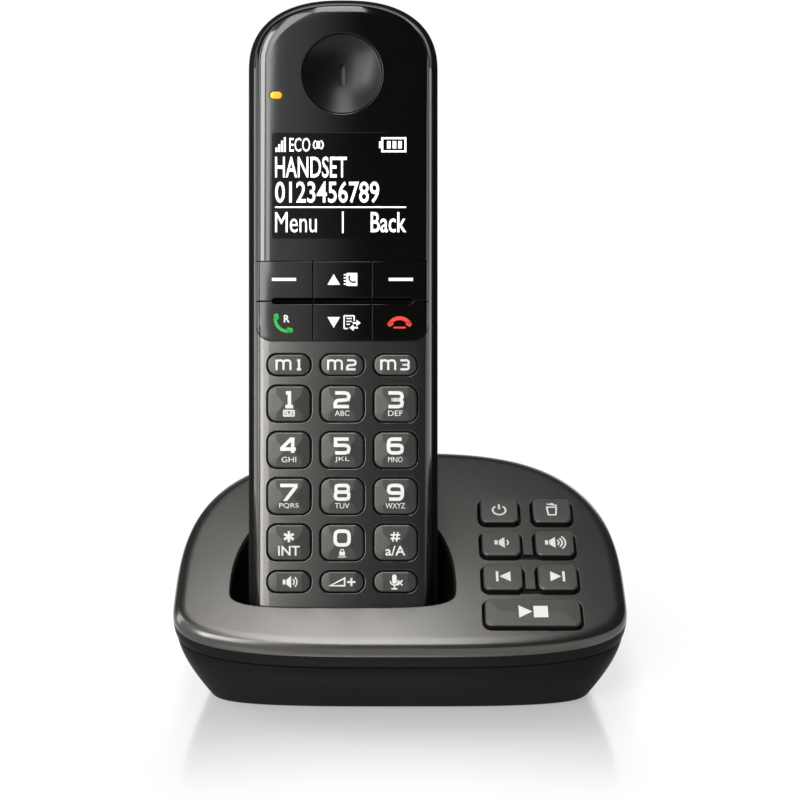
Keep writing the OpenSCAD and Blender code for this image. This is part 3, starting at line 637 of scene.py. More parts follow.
def cap_tree():
    """A key cap: a box with round corners, a domed top and a rolled edge."""
    tree, inputs = new_tree("key_cap", [
        "Width", "Height", "Corner", "Edge", "Dome", "Top", "Foot"])
    turn = point_value(tree, "turn")
    roll = point_value(tree, "roll")
    half_x = sum_of(tree, "MULTIPLY", inputs["Width"], 0.5)
    half_y = sum_of(tree, "MULTIPLY", inputs["Height"], 0.5)
    room = sum_of(tree, "SUBTRACT", sum_of(tree, "MINIMUM", half_x, half_y), inputs["Edge"])
    rolled = sum_of(tree, "SUBTRACT", 1.0, sum_of(tree, "COSINE", roll))
    step_in = sum_of(tree, "MULTIPLY", point_value(tree, "step_in"), room)
    inset = sum_of(tree, "MULTIPLY_ADD", rolled, inputs["Edge"], step_in)
    radius = sum_of(tree, "MAXIMUM", sum_of(tree, "SUBTRACT", inputs["Corner"], inset), LEAST_CORNER)
    taken = sum_of(tree, "ADD", inset, radius)
    places = []
    for half, side, wave in ((half_x, "side_x", "COSINE"), (half_y, "side_y", "SINE")):
        span = sum_of(tree, "MAXIMUM", sum_of(tree, "SUBTRACT", half, taken), 0.0)
        straight_part = sum_of(tree, "MULTIPLY", point_value(tree, side), span)
        places.append(sum_of(tree, "MULTIPLY_ADD", radius, sum_of(tree, wave, turn), straight_part))
    across, along = places
    square = sum_of(tree, "MULTIPLY_ADD", across, across, sum_of(tree, "MULTIPLY", along, along))
    sag = sum_of(tree, "DIVIDE", square, sum_of(tree, "MULTIPLY", inputs["Dome"], 2.0))
    drop = sum_of(tree, "SUBTRACT", 1.0, sum_of(tree, "SINE", roll))
    fall = sum_of(tree, "MULTIPLY_ADD", drop, inputs["Edge"], sag)
    crown = sum_of(tree, "SUBTRACT", inputs["Top"], fall)
    level = choose(tree, point_value(tree, "foot"), crown, inputs["Foot"])
    return place_points(tree, inputs, across, along, level)


def perforation_tree():
    """Rings of round holes about a middle one, as pegs that are cut out of a wall."""
    tree, inputs = new_tree("perforation", ["Pitch", "Hole", "Depth"])
    peg = tree.nodes.new("GeometryNodeMeshCylinder")
    peg.inputs["Vertices"].default_value = 20
    tree.links.new(inputs["Hole"], peg.inputs["Radius"])
    tree.links.new(inputs["Depth"], peg.inputs["Depth"])
    rows = tree.nodes.new("GeometryNodeJoinGeometry")
    for ring, count in ((2, 12), (1, 6), (0, 1)):
        circle = tree.nodes.new("GeometryNodeMeshCircle")
        circle.inputs["Vertices"].default_value = max(count, 3)
        circle_radius = sum_of(tree, "MULTIPLY", inputs["Pitch"], float(ring))
        tree.links.new(circle_radius, circle.inputs["Radius"])
        spots = tree.nodes.new("GeometryNodeMeshToPoints")
        tree.links.new(circle.outputs[0], spots.inputs[0])
        if count == 1:
            merge = tree.nodes.new("GeometryNodeMergeByDistance")
            tree.links.new(spots.outputs[0], merge.inputs[0])
            spots = merge
        pegs = tree.nodes.new("GeometryNodeInstanceOnPoints")
        tree.links.new(spots.outputs[0], pegs.inputs["Points"])
        tree.links.new(peg.outputs["Mesh"], pegs.inputs["Instance"])
        tree.links.new(pegs.outputs[0], rows.inputs[0])
    return end_tree(tree, inputs, rows.outputs[0])


HOUSING = housing_tree()
CAP = cap_tree()
PERFORATION = perforation_tree()

# Rings of a cap: shares of the way in on its top, turns of its rolled edge, and the slope of its sides
CAP_SHARES = [0.97, 0.8, 0.6, 0.4, 0.2, 0.0]
CAP_ROLLS = [75.0, 60.0, 45.0, 30.0, 15.0, 0.0]
# Cap sides steeper than this take the black moulding, painted shade of the gaps round the keys
CAP_SHADED_SIDE = 0.3


def carry(mesh, values):
    """Gives the points of a mesh their named numbers."""
    for label, numbers in values.items():
        attribute = mesh.attributes.new(label, "FLOAT", "POINT")
        attribute.data.foreach_set("value", numbers)


def housing(name, form, turns, rings, material):
    """A housing wall through rings of inset, inset at the high end and rise."""
    spot = (0.0, 0.0, 0.0)
    piece = loft(name, [[spot] * len(turns) for ring in rings])
    carry(piece.data, {
        "turn": [turn for ring in rings for turn, lower in turns],
        "lower": [lower for ring in rings for turn, lower in turns],
        "inset": [ring[0] for ring in rings for turn in turns],
        "high_inset": [ring[1] for ring in rings for turn in turns],
        "rise": [ring[2] for ring in rings for turn in turns]})
    return grow(piece, HOUSING, {**form, "Material": material})


def cap(name, width, height, corner, edge, dome, top, foot, material):
    """A key cap about the middle of its panel."""
    corners = []
    for quarter, side in enumerate(QUARTERS):
        for k in range(QUARTER_STEPS + 1):
            corners.append((math.radians(90 * (quarter + k / QUARTER_STEPS)), *side))
    rings = [(90.0, share, 0.0) for share in CAP_SHARES]
    rings += [(roll, 0.0, 0.0) for roll in CAP_ROLLS]
    rings.append((0.0, 0.0, 1.0))
    spot = (0.0, 0.0, 0.0)
    piece = loft(name, [[spot] * len(corners) for ring in rings])
    carry(piece.data, {
        "turn": [turn for ring in rings for turn, x, y in corners],
        "side_x": [float(x) for ring in rings for turn, x, y in corners],
        "side_y": [float(y) for ring in rings for turn, x, y in corners],
        "roll": [math.radians(ring[0]) for ring in rings for point in corners],
        "step_in": [ring[1] for ring in rings for point in corners],
        "foot": [ring[2] for ring in rings for point in corners]})
    grow(piece, CAP, {
        "Width": width, "Height": height, "Corner": corner, "Edge": edge,
        "Dome": dome, "Top": top, "Foot": foot, "Material": material})
    # The steep sides take the black moulding: painted shade of the dark gap round each key
    piece.data.materials.append(BLACK_SATIN)
    for face in piece.data.polygons:
        if face.normal.z < CAP_SHADED_SIDE:
            face.material_index = 1
    return smooth(piece, CAP_ANGLE)


# Shader groups: scales of their textures per metre, levels and shares

GRAIN_COARSE = 0.28
COARSE_SHARE = 0.5
WAVE_SCALE = 45.0
SMEAR_SCALE = 60.0
SMEAR_LEVEL = 0.42
SPECK_SCALE = 2600.0
SPECK_LEVEL = 0.72
SPECK_SHARE = 0.35
FLAKE_SHARE = 0.6
GLOW_GRAIN = 900.0
GLOW_DIM = 0.86


def new_group(name, inputs, outputs):
    """A shader group with named number inputs, a vector input and named outputs."""
    group = bpy.data.node_groups.new(name, "ShaderNodeTree")
    group.interface.new_socket("Vector", in_out="INPUT", socket_type="NodeSocketVector")
    for label in inputs:
        group.interface.new_socket(label, in_out="INPUT", socket_type="NodeSocketFloat")
    for label in outputs:
        group.interface.new_socket(label, in_out="OUTPUT", socket_type="NodeSocketFloat")
    source = group.nodes.new("NodeGroupInput").outputs
    sink = group.nodes.new("NodeGroupOutput").inputs
    return group, source, sink


def noise(group, vector, scale, detail, rough=0.5):
    """The value of a noise texture."""
    node = group.nodes.new("ShaderNodeTexNoise")
    group.links.new(vector, node.inputs["Vector"])
    feed(group, node.inputs["Scale"], scale)
    node.inputs["Detail"].default_value = detail
    node.inputs["Roughness"].default_value = rough
    return node.outputs[0]


def moulded_grain_group():
    """Fine spark-eroded grain of a moulding, and the slow waviness of its surface."""
    group, source, sink = new_group("moulded_grain", ["Scale"], ["Height", "Wave"])
    fine = noise(group, source["Vector"], source["Scale"], 3.0, 0.6)
    coarse = noise(group, source["Vector"], sum_of(group, "MULTIPLY", source["Scale"], GRAIN_COARSE), 2.0)
    group.links.new(sum_of(group, "MULTIPLY_ADD", coarse, COARSE_SHARE, fine), sink["Height"])
    group.links.new(noise(group, source["Vector"], WAVE_SCALE, 2.0), sink["Wave"])
    return group


def lacquer_flake_group():
    """Metal flakes of a lacquer, each with its own tone."""
    group, source, sink = new_group("lacquer_flake", ["Scale"], ["Tone"])
    cells = group.nodes.new("ShaderNodeTexVoronoi")
    cells.feature = "F1"
    group.links.new(source["Vector"], cells.inputs["Vector"])
    group.links.new(source["Scale"], cells.inputs["Scale"])
    split = group.nodes.new("ShaderNodeSeparateColor")
    group.links.new(cells.outputs["Color"], split.inputs[0])
    group.links.new(split.outputs[0], sink["Tone"])
    return group


def handling_group():
    """Smudges of fingers and fine dust, as a mask from clean to dull."""
    group, source, sink = new_group("handling", ["Amount"], ["Dull"])
    smear = noise(group, source["Vector"], SMEAR_SCALE, 4.0, 0.65)
    speck = noise(group, source["Vector"], SPECK_SCALE, 1.0)
    dots = sum_of(group, "GREATER_THAN", speck, SPECK_LEVEL)
    patch = sum_of(group, "SUBTRACT", smear, SMEAR_LEVEL)
    both = sum_of(group, "MULTIPLY_ADD", dots, SPECK_SHARE, sum_of(group, "MAXIMUM", patch, 0.0))
    group.links.new(sum_of(group, "MULTIPLY", both, source["Amount"]), sink["Dull"])
    return group


def crowned_face_group():
    """Height of a face that is slightly rounded from side to side."""
    group, source, sink = new_group("crowned_face", ["Middle", "Radius"], ["Height"])
    split = group.nodes.new("ShaderNodeSeparateXYZ")
    group.links.new(source["Vector"], split.inputs[0])
    side = sum_of(group, "SUBTRACT", split.outputs[0], source["Middle"])
    fall = sum_of(group, "DIVIDE", sum_of(group, "MULTIPLY", side, side), source["Radius"])
    group.links.new(sum_of(group, "MULTIPLY", fall, -0.5), sink["Height"])
    return group


CROWN = crowned_face_group()
GRAIN = moulded_grain_group()
FLAKE = lacquer_flake_group()
HANDLING = handling_group()


# Materials

def use_group(tree, group, **values):
    """A group node in a material, reading Object coordinates."""
    node = tree.nodes.new("ShaderNodeGroup")
    node.node_tree = group
    place = tree.nodes.new("ShaderNodeTexCoord")
    tree.links.new(place.outputs["Object"], node.inputs["Vector"])
    for label, value in values.items():
        node.inputs[label].default_value = value
    return node.outputs


def tone_mix(tree, share, dark, light):
    """A colour between two, by a share."""
    node = tree.nodes.new("ShaderNodeMix")
    node.data_type = "RGBA"
    feed(tree, node.inputs[0], share)
    node.inputs[6].default_value = (*dark, 1.0)
    node.inputs[7].default_value = (*light, 1.0)
    return node.outputs[2]


def finish(name, dark, light, gloss, grain, depth, flake=0.0, metal=0.0, shine=0.5, dull=0.5,
           crown=0.0):
    """A moulded or lacquered surface: two tones, a roughness range, grain and handling."""
    material = bpy.data.materials.new(name)
    material.use_nodes = True
    tree = material.node_tree
    shader = tree.nodes["Principled BSDF"]
    shader.inputs["Metallic"].default_value = metal
    shader.inputs["Specular IOR Level"].default_value = shine
    surface = use_group(tree, GRAIN, Scale=grain)
    share = surface["Wave"]
    if flake:
        sparkle = use_group(tree, FLAKE, Scale=flake)["Tone"]
        waves = sum_of(tree, "MULTIPLY", share, 1 - FLAKE_SHARE)
        share = sum_of(tree, "MULTIPLY_ADD", sparkle, FLAKE_SHARE, waves)
    tree.links.new(tone_mix(tree, share, dark, light), shader.inputs["Base Color"])
    worn = use_group(tree, HANDLING, Amount=dull)["Dull"]
    rough = sum_of(tree, "MULTIPLY_ADD", worn, gloss[1] - gloss[0], gloss[0])
    tree.links.new(rough, shader.inputs["Roughness"])
    bump = tree.nodes.new("ShaderNodeBump")
    bump.inputs["Strength"].default_value = 1.0
    bump.inputs["Distance"].default_value = depth
    tree.links.new(surface["Height"], bump.inputs["Height"])
    if crown:
        face = tree.nodes.new("ShaderNodeBump")
        face.inputs["Distance"].default_value = 1.0
        height = use_group(tree, CROWN, Middle=HANDSET_X * MM, Radius=crown * MM)["Height"]
        tree.links.new(height, face.inputs["Height"])
        tree.links.new(face.outputs[0], bump.inputs["Normal"])
    tree.links.new(bump.outputs[0], shader.inputs["Normal"])
    return material


def glowing(name, colour, strength, gloss):
    """A lit surface, a little uneven."""
    material = finish(name, colour, colour, gloss, 1500.0, 2e-7)
    shader = material.node_tree.nodes["Principled BSDF"]
    tree = material.node_tree
    dim = tuple(GLOW_DIM * part for part in colour)
    wave = use_group(tree, GRAIN, Scale=GLOW_GRAIN)["Wave"]
    tree.links.new(tone_mix(tree, wave, dim, colour), shader.inputs["Emission Color"])
    shader.inputs["Emission Strength"].default_value = strength
    return material


def grey(level, warmth=0.03):
    """A slightly warm grey of a linear level."""
    return (level * (1 + warmth), level, level * (1 - 2 * warmth))


FACE_CROWN = 190.0
GRAPHITE = finish("graphite_lacquer", grey(0.07), grey(0.105), (0.24, 0.36), 5200.0, 2e-6,
                  flake=9000.0, metal=0.9)
FACE_GREY = finish("face_lacquer", grey(0.06), grey(0.09), (0.24, 0.36), 5200.0, 2e-6,
                   flake=9000.0, metal=0.85, crown=FACE_CROWN)
CAP_GREY = finish("key_lacquer", grey(0.055), grey(0.08), (0.38, 0.5), 5200.0, 2e-6,
                  flake=9000.0, metal=0.8)
BLACK_SATIN = finish("black_moulding", grey(0.0065), grey(0.0095), (0.34, 0.48), 3600.0, 4e-6,
                     shine=0.02)
BLACK_GLOSS = finish("black_gloss", grey(0.002), grey(0.003), (0.08, 0.2), 900.0, 3e-7, dull=0.35,
                     crown=FACE_CROWN)
# Matt near-black painted into the groove between the flush key rows as its shade
GROOVE_PAINTED_SHADE = finish("groove_painted_shade", grey(0.001), grey(0.0015), (0.5, 0.6), 3600.0, 2e-6, shine=0.0)
DISH_BLACK = finish("dish_black", grey(0.002), grey(0.0035), (0.28, 0.4), 5000.0, 2e-6, shine=0.24)
POCKET_BLACK = finish("pocket_black", grey(0.005), grey(0.008), (0.16, 0.3), 2400.0, 2e-6, shine=0.3)
GLASS_BLACK = finish("display_glass", grey(0.002, 0.0), grey(0.003, 0.0), (0.08, 0.16), 700.0, 2e-7,
                     shine=0.15, crown=FACE_CROWN)
PALE_INK = finish("pale_ink", grey(0.5, 0.01), grey(0.58, 0.01), (0.5, 0.65), 4200.0, 1e-6)
WHITE_INK = finish("white_ink", grey(0.66, 0.01), grey(0.74, 0.01), (0.5, 0.65), 4200.0, 1e-6)
DARK_INK = finish("dark_ink", grey(0.006), grey(0.009), (0.4, 0.5), 4200.0, 1e-6)
GREEN_INK = finish("green_ink", (0.004, 0.28, 0.03), (0.006, 0.34, 0.04), (0.45, 0.6), 4200.0, 1e-6)
RED_INK = finish("red_ink", (0.56, 0.02, 0.01), (0.64, 0.026, 0.014), (0.45, 0.6), 4200.0, 1e-6)
LCD_WHITE = glowing("display_pixels", (0.82, 0.84, 0.82), 0.55, (0.3, 0.4))
AMBER = glowing("amber_lens", (0.78, 0.32, 0.015), 0.35, (0.15, 0.25))
RUBBER = finish("key_rubber", grey(0.05), grey(0.07), (0.7, 0.85), 1800.0, 6e-6)
FOOT_RUBBER = finish("foot_rubber", grey(0.01), grey(0.014), (0.75, 0.9), 1600.0, 9e-6)
BOARD = finish("circuit_board", (0.01, 0.07, 0.025), (0.015, 0.12, 0.04), (0.35, 0.5), 700.0, 4e-6)
STEEL = finish("plated_steel", grey(0.5, 0.01), grey(0.62, 0.01), (0.25, 0.4), 2500.0, 2e-6, metal=1.0)
GOLD = finish("gilt_contact", (0.72, 0.48, 0.18), (0.82, 0.57, 0.24), (0.2, 0.34), 2500.0, 2e-6, metal=1.0)
CELL_WRAP = finish("cell_wrap", (0.03, 0.16, 0.09), (0.045, 0.21, 0.12), (0.28, 0.4), 500.0, 8e-6)
SOCKET = finish("socket_plastic", grey(0.02), grey(0.028), (0.42, 0.55), 3200.0, 4e-6)


# Handset housing

def handset_turns():
    """Turns of a ring round the handset, the arch first and then the foot."""
    high = [(math.pi * k / ARCH_STEPS, 0.0) for k in range(ARCH_STEPS + 1)]
    low = [(math.pi * (1 + k / FOOT_STEPS), 1.0) for k in range(FOOT_STEPS + 1)]
    return high + low


HANDSET_FORM = {
    "Half Width": HALF_W, "Low Middle": FOOT_ARCH, "High Middle": HANDSET_L - TOP_ARCH,
    "Low Reach": FOOT_ARCH, "High Reach": TOP_ARCH, "Low Power": FOOT_POWER, "High Power": TOP_POWER}
KEY_NAMES = [
    ["m1", "m2", "m3"], ["digit_1", "digit_2", "digit_3"], ["digit_4", "digit_5", "digit_6"],
    ["digit_7", "digit_8", "digit_9"], ["star", "digit_0", "hash"], ["handsfree", "boost", "mute"]]
KEY_PLACES = [MEMORY_ROW, *KEY_ROWS, FUNCTION_ROW]


def keypad():
    """Name, middle and height of each key of the keypad."""
    for names, row in zip(KEY_NAMES, KEY_PLACES):
        height = KEY_H if row in KEY_ROWS else SMALL_KEY_H
        for column, name in enumerate(names):
            yield name, (KEY_PITCH_X * (column - 1), row), height


FACE_SINK = FACE_ROUND ** 2 / (2 * FACE_ROUND_R)
EDGE_WIDTH = FACE_EDGE - SPLIT_STEP - SKIN_IN
EDGE_START = math.atan(FACE_ROUND / FACE_ROUND_R * EDGE_WIDTH / SPLIT_DEPTH)


def face_edge(inset_end, steps):
    """Insets and depths from the flat face over its gentle rounding to an inset on its edge."""
    curve = []
    for k in range(FACE_STEPS):
        reach = FACE_ROUND * k / FACE_STEPS
        curve.append((FACE_EDGE + FACE_ROUND - reach, reach ** 2 / (2 * FACE_ROUND_R)))
    low = math.sin(EDGE_START)
    last = math.asin(1 - (inset_end - SPLIT_STEP - SKIN_IN) / EDGE_WIDTH * (1 - low))
    for k in range(steps + 1):
        turn = EDGE_START + (last - EDGE_START) * k / steps
        inset = SPLIT_STEP + SKIN_IN + EDGE_WIDTH * (1 - math.sin(turn)) / (1 - low)
        fall = 1 - math.cos(turn) / math.cos(EDGE_START)
        curve.append((inset, FACE_SINK + (SPLIT_DEPTH - FACE_SINK) * fall))
    return curve


def front_shell():
    """The grey front shell with its window seat, key openings and microphone hole."""
    edge = face_edge(SPLIT_STEP + SKIN_IN, FACE_EDGE_STEPS)
    rings = [(inset, inset, -depth) for inset, depth in edge]
    wall = SPLIT_STEP + HANDSET_WALL
    rings.append((wall, wall, -SPLIT_DEPTH))
    rings.append((wall + PLATE_STEP, wall + PLATE_STEP, -PLATE_T))
    shell = housing("handset_front_housing", HANDSET_FORM, handset_turns(), rings, FACE_GREY)

    def window_seat(growth):
        return window_outline(WINDOW_EDGE - SEAT_GAP - growth, NAV_LOW - SEAT_GAP - growth, NAV_R + growth)

    def window_opening(growth):
        return window_outline(WINDOW_EDGE + SHELF_W, WINDOW_LOW + SHELF_W)

    def flush_opening(growth):
        side = HALF_W - WINDOW_EDGE + SEAT_GAP
        low = [(x, y) for x, y in window_seat(0.0) if y < WINDOW_LOW]
        return [(side, WINDOW_LOW), (-side, WINDOW_LOW), *low[1:-1]]

    cuts = [straight(window_seat, PAST, -WINDOW_T), straight(window_opening, PAST, -PLATE_T - PAST),
            straight(flush_opening, PAST, -PLATE_T - 2 * PAST)]
    for name, middle, height in keypad():
        hole = rounded_box(KEY_W + 2 * KEY_GAP, height + 2 * KEY_GAP, KEY_R + KEY_GAP, middle)
        cuts.append(block(hole, rimmed(0.0, -PLATE_T - PAST, KEY_RIM)))
    cuts.append(block(disc(MIC_R, (0.0, MIC_Y), 24), rimmed(0.0, -PLATE_T - PAST, MIC_RIM)))
    combine(shell, cuts, "DIFFERENCE")
    shell.data.materials.append(BLACK_SATIN)
    for face in shell.data.polygons:
        if face.center.y > NAV_LOW + NAV_R:
            face.material_index = len(shell.data.materials) - 1
    smooth(shell)
    seat(shell, FACE, "handset", ["handset_front_shell"])


def rear_shell():
    """The black rear shell with battery bay, sound holes, screw wells and contact slots."""
    rings = []
    for turn in reversed(quarter_turns(BACK_INNER_STEPS)):
        inset = HANDSET_WALL + (BACK_EDGE + BACK_INNER - HANDSET_WALL) * (1 - math.cos(turn))
        depth = BACK_START + (HANDSET_T - HANDSET_WALL - BACK_START) * math.sin(turn)
        rings.append((inset, inset, -depth))
    rings.append((HANDSET_WALL + LIP_STEP, HANDSET_WALL + LIP_STEP, -SPLIT_DEPTH))
    rings += [(inset, inset, -SPLIT_DEPTH - drop) for inset, drop in REAR_LIP]
    for turn in quarter_turns(BACK_STEPS):
        inset = SKIN_IN + BACK_EDGE * (1 - math.cos(turn))
        depth = BACK_START + (HANDSET_T - SKIN_IN - BACK_START) * math.sin(turn)
        rings.append((inset, inset, -depth))
    shell = housing("handset_rear_housing", HANDSET_FORM, handset_turns(), rings, BLACK_SATIN)
    inside = -HANDSET_T + BACK_T
    bay = (0.0, BAY_LOW + BAY_L / 2)
    cover_w = 2 * (COVER_HALF + COVER_GAP)
    cover_l = BAY_L + 2 * (COVER_LAP + COVER_GAP)
    posts = [(x, y) for x in (-POST_X, POST_X) for y in POST_ROWS]
    tray = rounded_box(cover_w + 2 * BAY_RIM, cover_l + 2 * BAY_RIM, BAY_RIM_R, bay)
    adds = [straight(tray, -BAY_FLOOR, inside)]
    adds += [straight(disc(POST_R, post, 32), -SPLIT_DEPTH, -HANDSET_T + POST_END) for post in posts]
    combine(shell, adds, "UNION")
    below = -HANDSET_T - PAST
    cuts = [straight(rounded_box(2 * BAY_HALF, BAY_L, BAY_R, bay), -BAY_FLOOR - BAY_SKIN, below)]
    recess = rounded_box(cover_w, cover_l, COVER_R, bay)
    cuts.append(straight(recess, -HANDSET_T + COVER_T + COVER_GAP, below))
    cuts += [straight(disc(HEAD_R, post, 32), -HEAD_DEPTH, below) for post in posts]
    for x in (-CONTACT_X, CONTACT_X):
        slot = rounded_box(*CONTACT_SLOT, (x, 0.0))
        cuts.append(straight(slot, -CONTACT_DEPTH + CONTACT_LAP, -CONTACT_DEPTH - CONTACT_LAP))
    combine(shell, cuts, "DIFFERENCE")
    pegs = made_of("pegs", [], [])
    grow(pegs, PERFORATION, {
        "Pitch": RINGER_PITCH, "Hole": RINGER_HOLE, "Depth": RINGER_PEG, "Material": BLACK_SATIN})
    pegs.data.transform(Matrix.Translation((0.0, RINGER_Y, -HANDSET_T)))
    combine(shell, [pegs], "DIFFERENCE")
    smooth(shell)
    seat(shell, FACE, "handset", ["handset_rear_shell"])


def window():
    """The gloss black window, rounded with the face, with its earpiece and light holes."""
    low = WINDOW_LOW + WINDOW_FIT
    rings = []
    for inset, depth in face_edge(WINDOW_EDGE, WINDOW_EDGE_STEPS):
        rings.append([(x, y, -depth) for x, y in window_outline(inset, low)])
    rings.append([(x, y, -WINDOW_T) for x, y in window_outline(WINDOW_EDGE, low)])
    piece = dress(loft("display_window_glass", rings), BLACK_GLOSS)
    gap = 2 * LED_GAP
    light = rounded_box(LED_W + gap, LED_H + gap, LED_H / 2 + LED_GAP, (LED_X, LED_Y))
    dish = disc(DISH_R + SEAT_GAP, (0.0, DISH_Y), 128)
    cuts = [block(dish, rimmed(0.0, -WINDOW_T - PAST, DISH_RIM)),
            block(light, rimmed(0.0, -WINDOW_T - PAST, LED_GAP))]
    combine(piece, cuts, "DIFFERENCE")
    smooth(piece)
    seat(piece, FACE, "handset", ["display_window"])


def earpiece():
    """The dished earpiece with its rolled rim and sound slot."""
    bowl = DISH_R - CUP_LIP
    sphere = (bowl ** 2 + DISH_DEPTH ** 2) / (2 * DISH_DEPTH)
    levels = []
    for k in range(1, DISH_STEPS + 1):
        radius = bowl * k / DISH_STEPS
        depth = DISH_DEPTH - sphere + math.sqrt(sphere ** 2 - radius ** 2)
        levels.append((radius - DISH_R, -DISH_SINK - depth))
    levels += [(growth, -DISH_SINK + rise) for growth, rise in CUP_ROLL]
    levels += [(0.0, -WINDOW_T - CUP_BACK), (CUP_FLANGE, -WINDOW_T - CUP_BACK),
               (CUP_FLANGE, -WINDOW_T - CUP_DEEP)]
    cup = dress(block(disc(DISH_R, (0.0, DISH_Y), 128), levels), DISH_BLACK)
    slot = rounded_box(SLOT_W, SLOT_L, SLOT_W / 2, (0.0, DISH_Y))
    combine(cup, [straight(slot, PAST, -WINDOW_T - CUP_DEEP - PAST)], "DIFFERENCE")
    smooth(cup, CUP_ANGLE)
    seat(cup, FACE, "handset", ["earpiece_cup"])


def event_light():
    """The amber lens of the event light with its stem."""
    lens = cap("event_light_lens", LED_W, LED_H, LED_H / 2, LED_EDGE, LED_DOME, LED_PROUD, -WINDOW_T,
               AMBER)
    lens.data.transform(Matrix.Translation((LED_X, LED_Y, 0.0)))
    seat(lens, FACE, "handset", ["event_light"])


front_shell()
rear_shell()
window()
earpiece()
event_light()


# Keys

def keypad_caps():
    """Domed caps of the keypad."""
    for name, middle, height in keypad():
        piece = cap(name + "_cap", KEY_W, height, KEY_R, KEY_EDGE, DOME_R, KEY_PROUD, -KEY_FOOT, CAP_GREY)
        piece.data.transform(Matrix.Translation((*middle, 0.0)))
        seat(piece, FACE, name + "_key", [name + "_key"])


NODE_WELD = 1e-6
FLAT_ANGLE = 1.0


def softened(name, node, width, material):
    """A copy of a CAD node with merged points, small rolled edges and smooth faces."""
    mesh = frame["nodes"][node].data.copy()
    piece = new_object(name, mesh)
    sheet = bmesh.new()
    sheet.from_mesh(mesh)
    bmesh.ops.remove_doubles(sheet, verts=sheet.verts, dist=NODE_WELD)
    flat = math.radians(FLAT_ANGLE)
    bmesh.ops.dissolve_limit(sheet, angle_limit=flat, verts=sheet.verts, edges=sheet.edges)
    sheet.to_mesh(mesh)
    sheet.free()
    dress(piece, material)
    roll = piece.modifiers.new("roll", "BEVEL")
    roll.width = width * MM
    roll.segments = 2
    roll.limit_method = "ANGLE"
    roll.angle_limit = math.radians(CAP_ANGLE)
    bake(piece)
    return smooth(piece, CAP_ANGLE)


FLUSH_KEYS = ["left_soft", "up", "right_soft", "talk", "down", "end"]


def flush_caps():
    """The six gloss keys under the window."""
    to_panel = FACE.inverted()
    for name in FLUSH_KEYS:
        piece = softened(name + "_cap", name + "_key", FLUSH_EDGE, BLACK_GLOSS)
        piece.data.materials.append(GROOVE_PAINTED_SHADE)
        for face in piece.data.polygons:
            # Faces sunk in the groove between the two rows take painted shade
            spot = to_panel @ face.center
            in_line = abs(spot.y - NAV_LOW - NAV_H) < GROOVE_HALF and abs(spot.x) < GROOVE_REACH
            if in_line and spot.z < -GROOVE_TOP:
                face.material_index = 1
        seat(piece, Matrix.Identity(4), name + "_key", [name + "_key"])


def base_spot(column, row):
    """Middle of a base key on the lid."""
    return BASE_COL + column * BASE_PITCH_X, BASE_ROW + row * BASE_PITCH_S


def base_cap(name, column, row, width):
    """One base cap in its place on the lid."""
    piece = cap(name, width, BASE_KEY_L, BASE_KEY_R, BASE_KEY_EDGE, BASE_KEY_DOME,
                LID_H + BASE_KEY_PROUD, BASE_KEY_FOOT, CAP_GREY)
    piece.data.transform(Matrix.Translation((*base_spot(column, row), 0.0)))
    return piece


def bridge_bar(row, gap=0.0):
    """Outline of the bar that joins the two caps of a rocker, with a gap round it."""
    x, y = base_spot(0.5, row)
    place = (x, y - BASE_KEY_L / 2 + BRIDGE_W / 2)
    return rounded_box(BASE_PITCH_X, BRIDGE_W + 2 * gap, BRIDGE_R, place)


def base_caps():
    """Single keys and two-cap rockers of the base."""
    wide = BASE_KEY_W + BASE_PITCH_X
    for name, column, row, width in (
            ("power", 0, 3, BASE_KEY_W), ("delete", 1, 3, BASE_KEY_W), ("play", 0.5, 0, wide)):
        piece = base_cap(name + "_cap", column, row, width)
        seat(piece, LID, name + "_key", [name + "_key"])
    for name, row in (("skip", 1), ("volume", 2)):
        bridge = dress(straight(bridge_bar(row), LID_H - BRIDGE_SINK, BASE_KEY_FOOT), BLACK_SATIN)
        caps = [base_cap("half_cap", column, row, BASE_KEY_W) for column in (0, 1)]
        piece = join(name + "_rocker_caps", [*caps, bridge])
        smooth(piece, CAP_ANGLE)
        seat(piece, LID, name + "_rocker", [name + "_rocker"])


keypad_caps()
flush_caps()
base_caps()


# Base housing

def base_turns():
    """Turns of a ring round the base."""
    return [(math.tau * k / BASE_STEPS, 1.0 if k > BASE_STEPS / 2 else 0.0) for k in range(BASE_STEPS)]


BASE_FORM = {
    "Half Width": BASE_HALF, "Low Middle": WIDEST_AT, "High Middle": WIDEST_AT,
    "Low Reach": WIDEST_AT, "High Reach": BASE_LEN - WIDEST_AT,
    "Low Power": FRONT_POWER, "High Power": REAR_POWER}


def in_pocket(point):
    """True for a point of the lid that lies on the wall of the pocket."""
    start = DOCK_Y * math.cos(SLOPE) + DOCK_Z * math.sin(SLOPE)
    lift_off = point.z - (DOCK_Z * math.cos(SLOPE) - DOCK_Y * math.sin(SLOPE))
    depth = (point.y - start) * math.cos(TILT) - lift_off * math.sin(TILT)
    power, reach = pocket_shape(depth < POCKET_WIDE)
    across = abs(point.x - HANDSET_X) / (POCKET_HALF + WALL_NEAR)
    return across ** power + (abs(depth - POCKET_WIDE) / (reach + WALL_NEAR)) ** power < 1.0


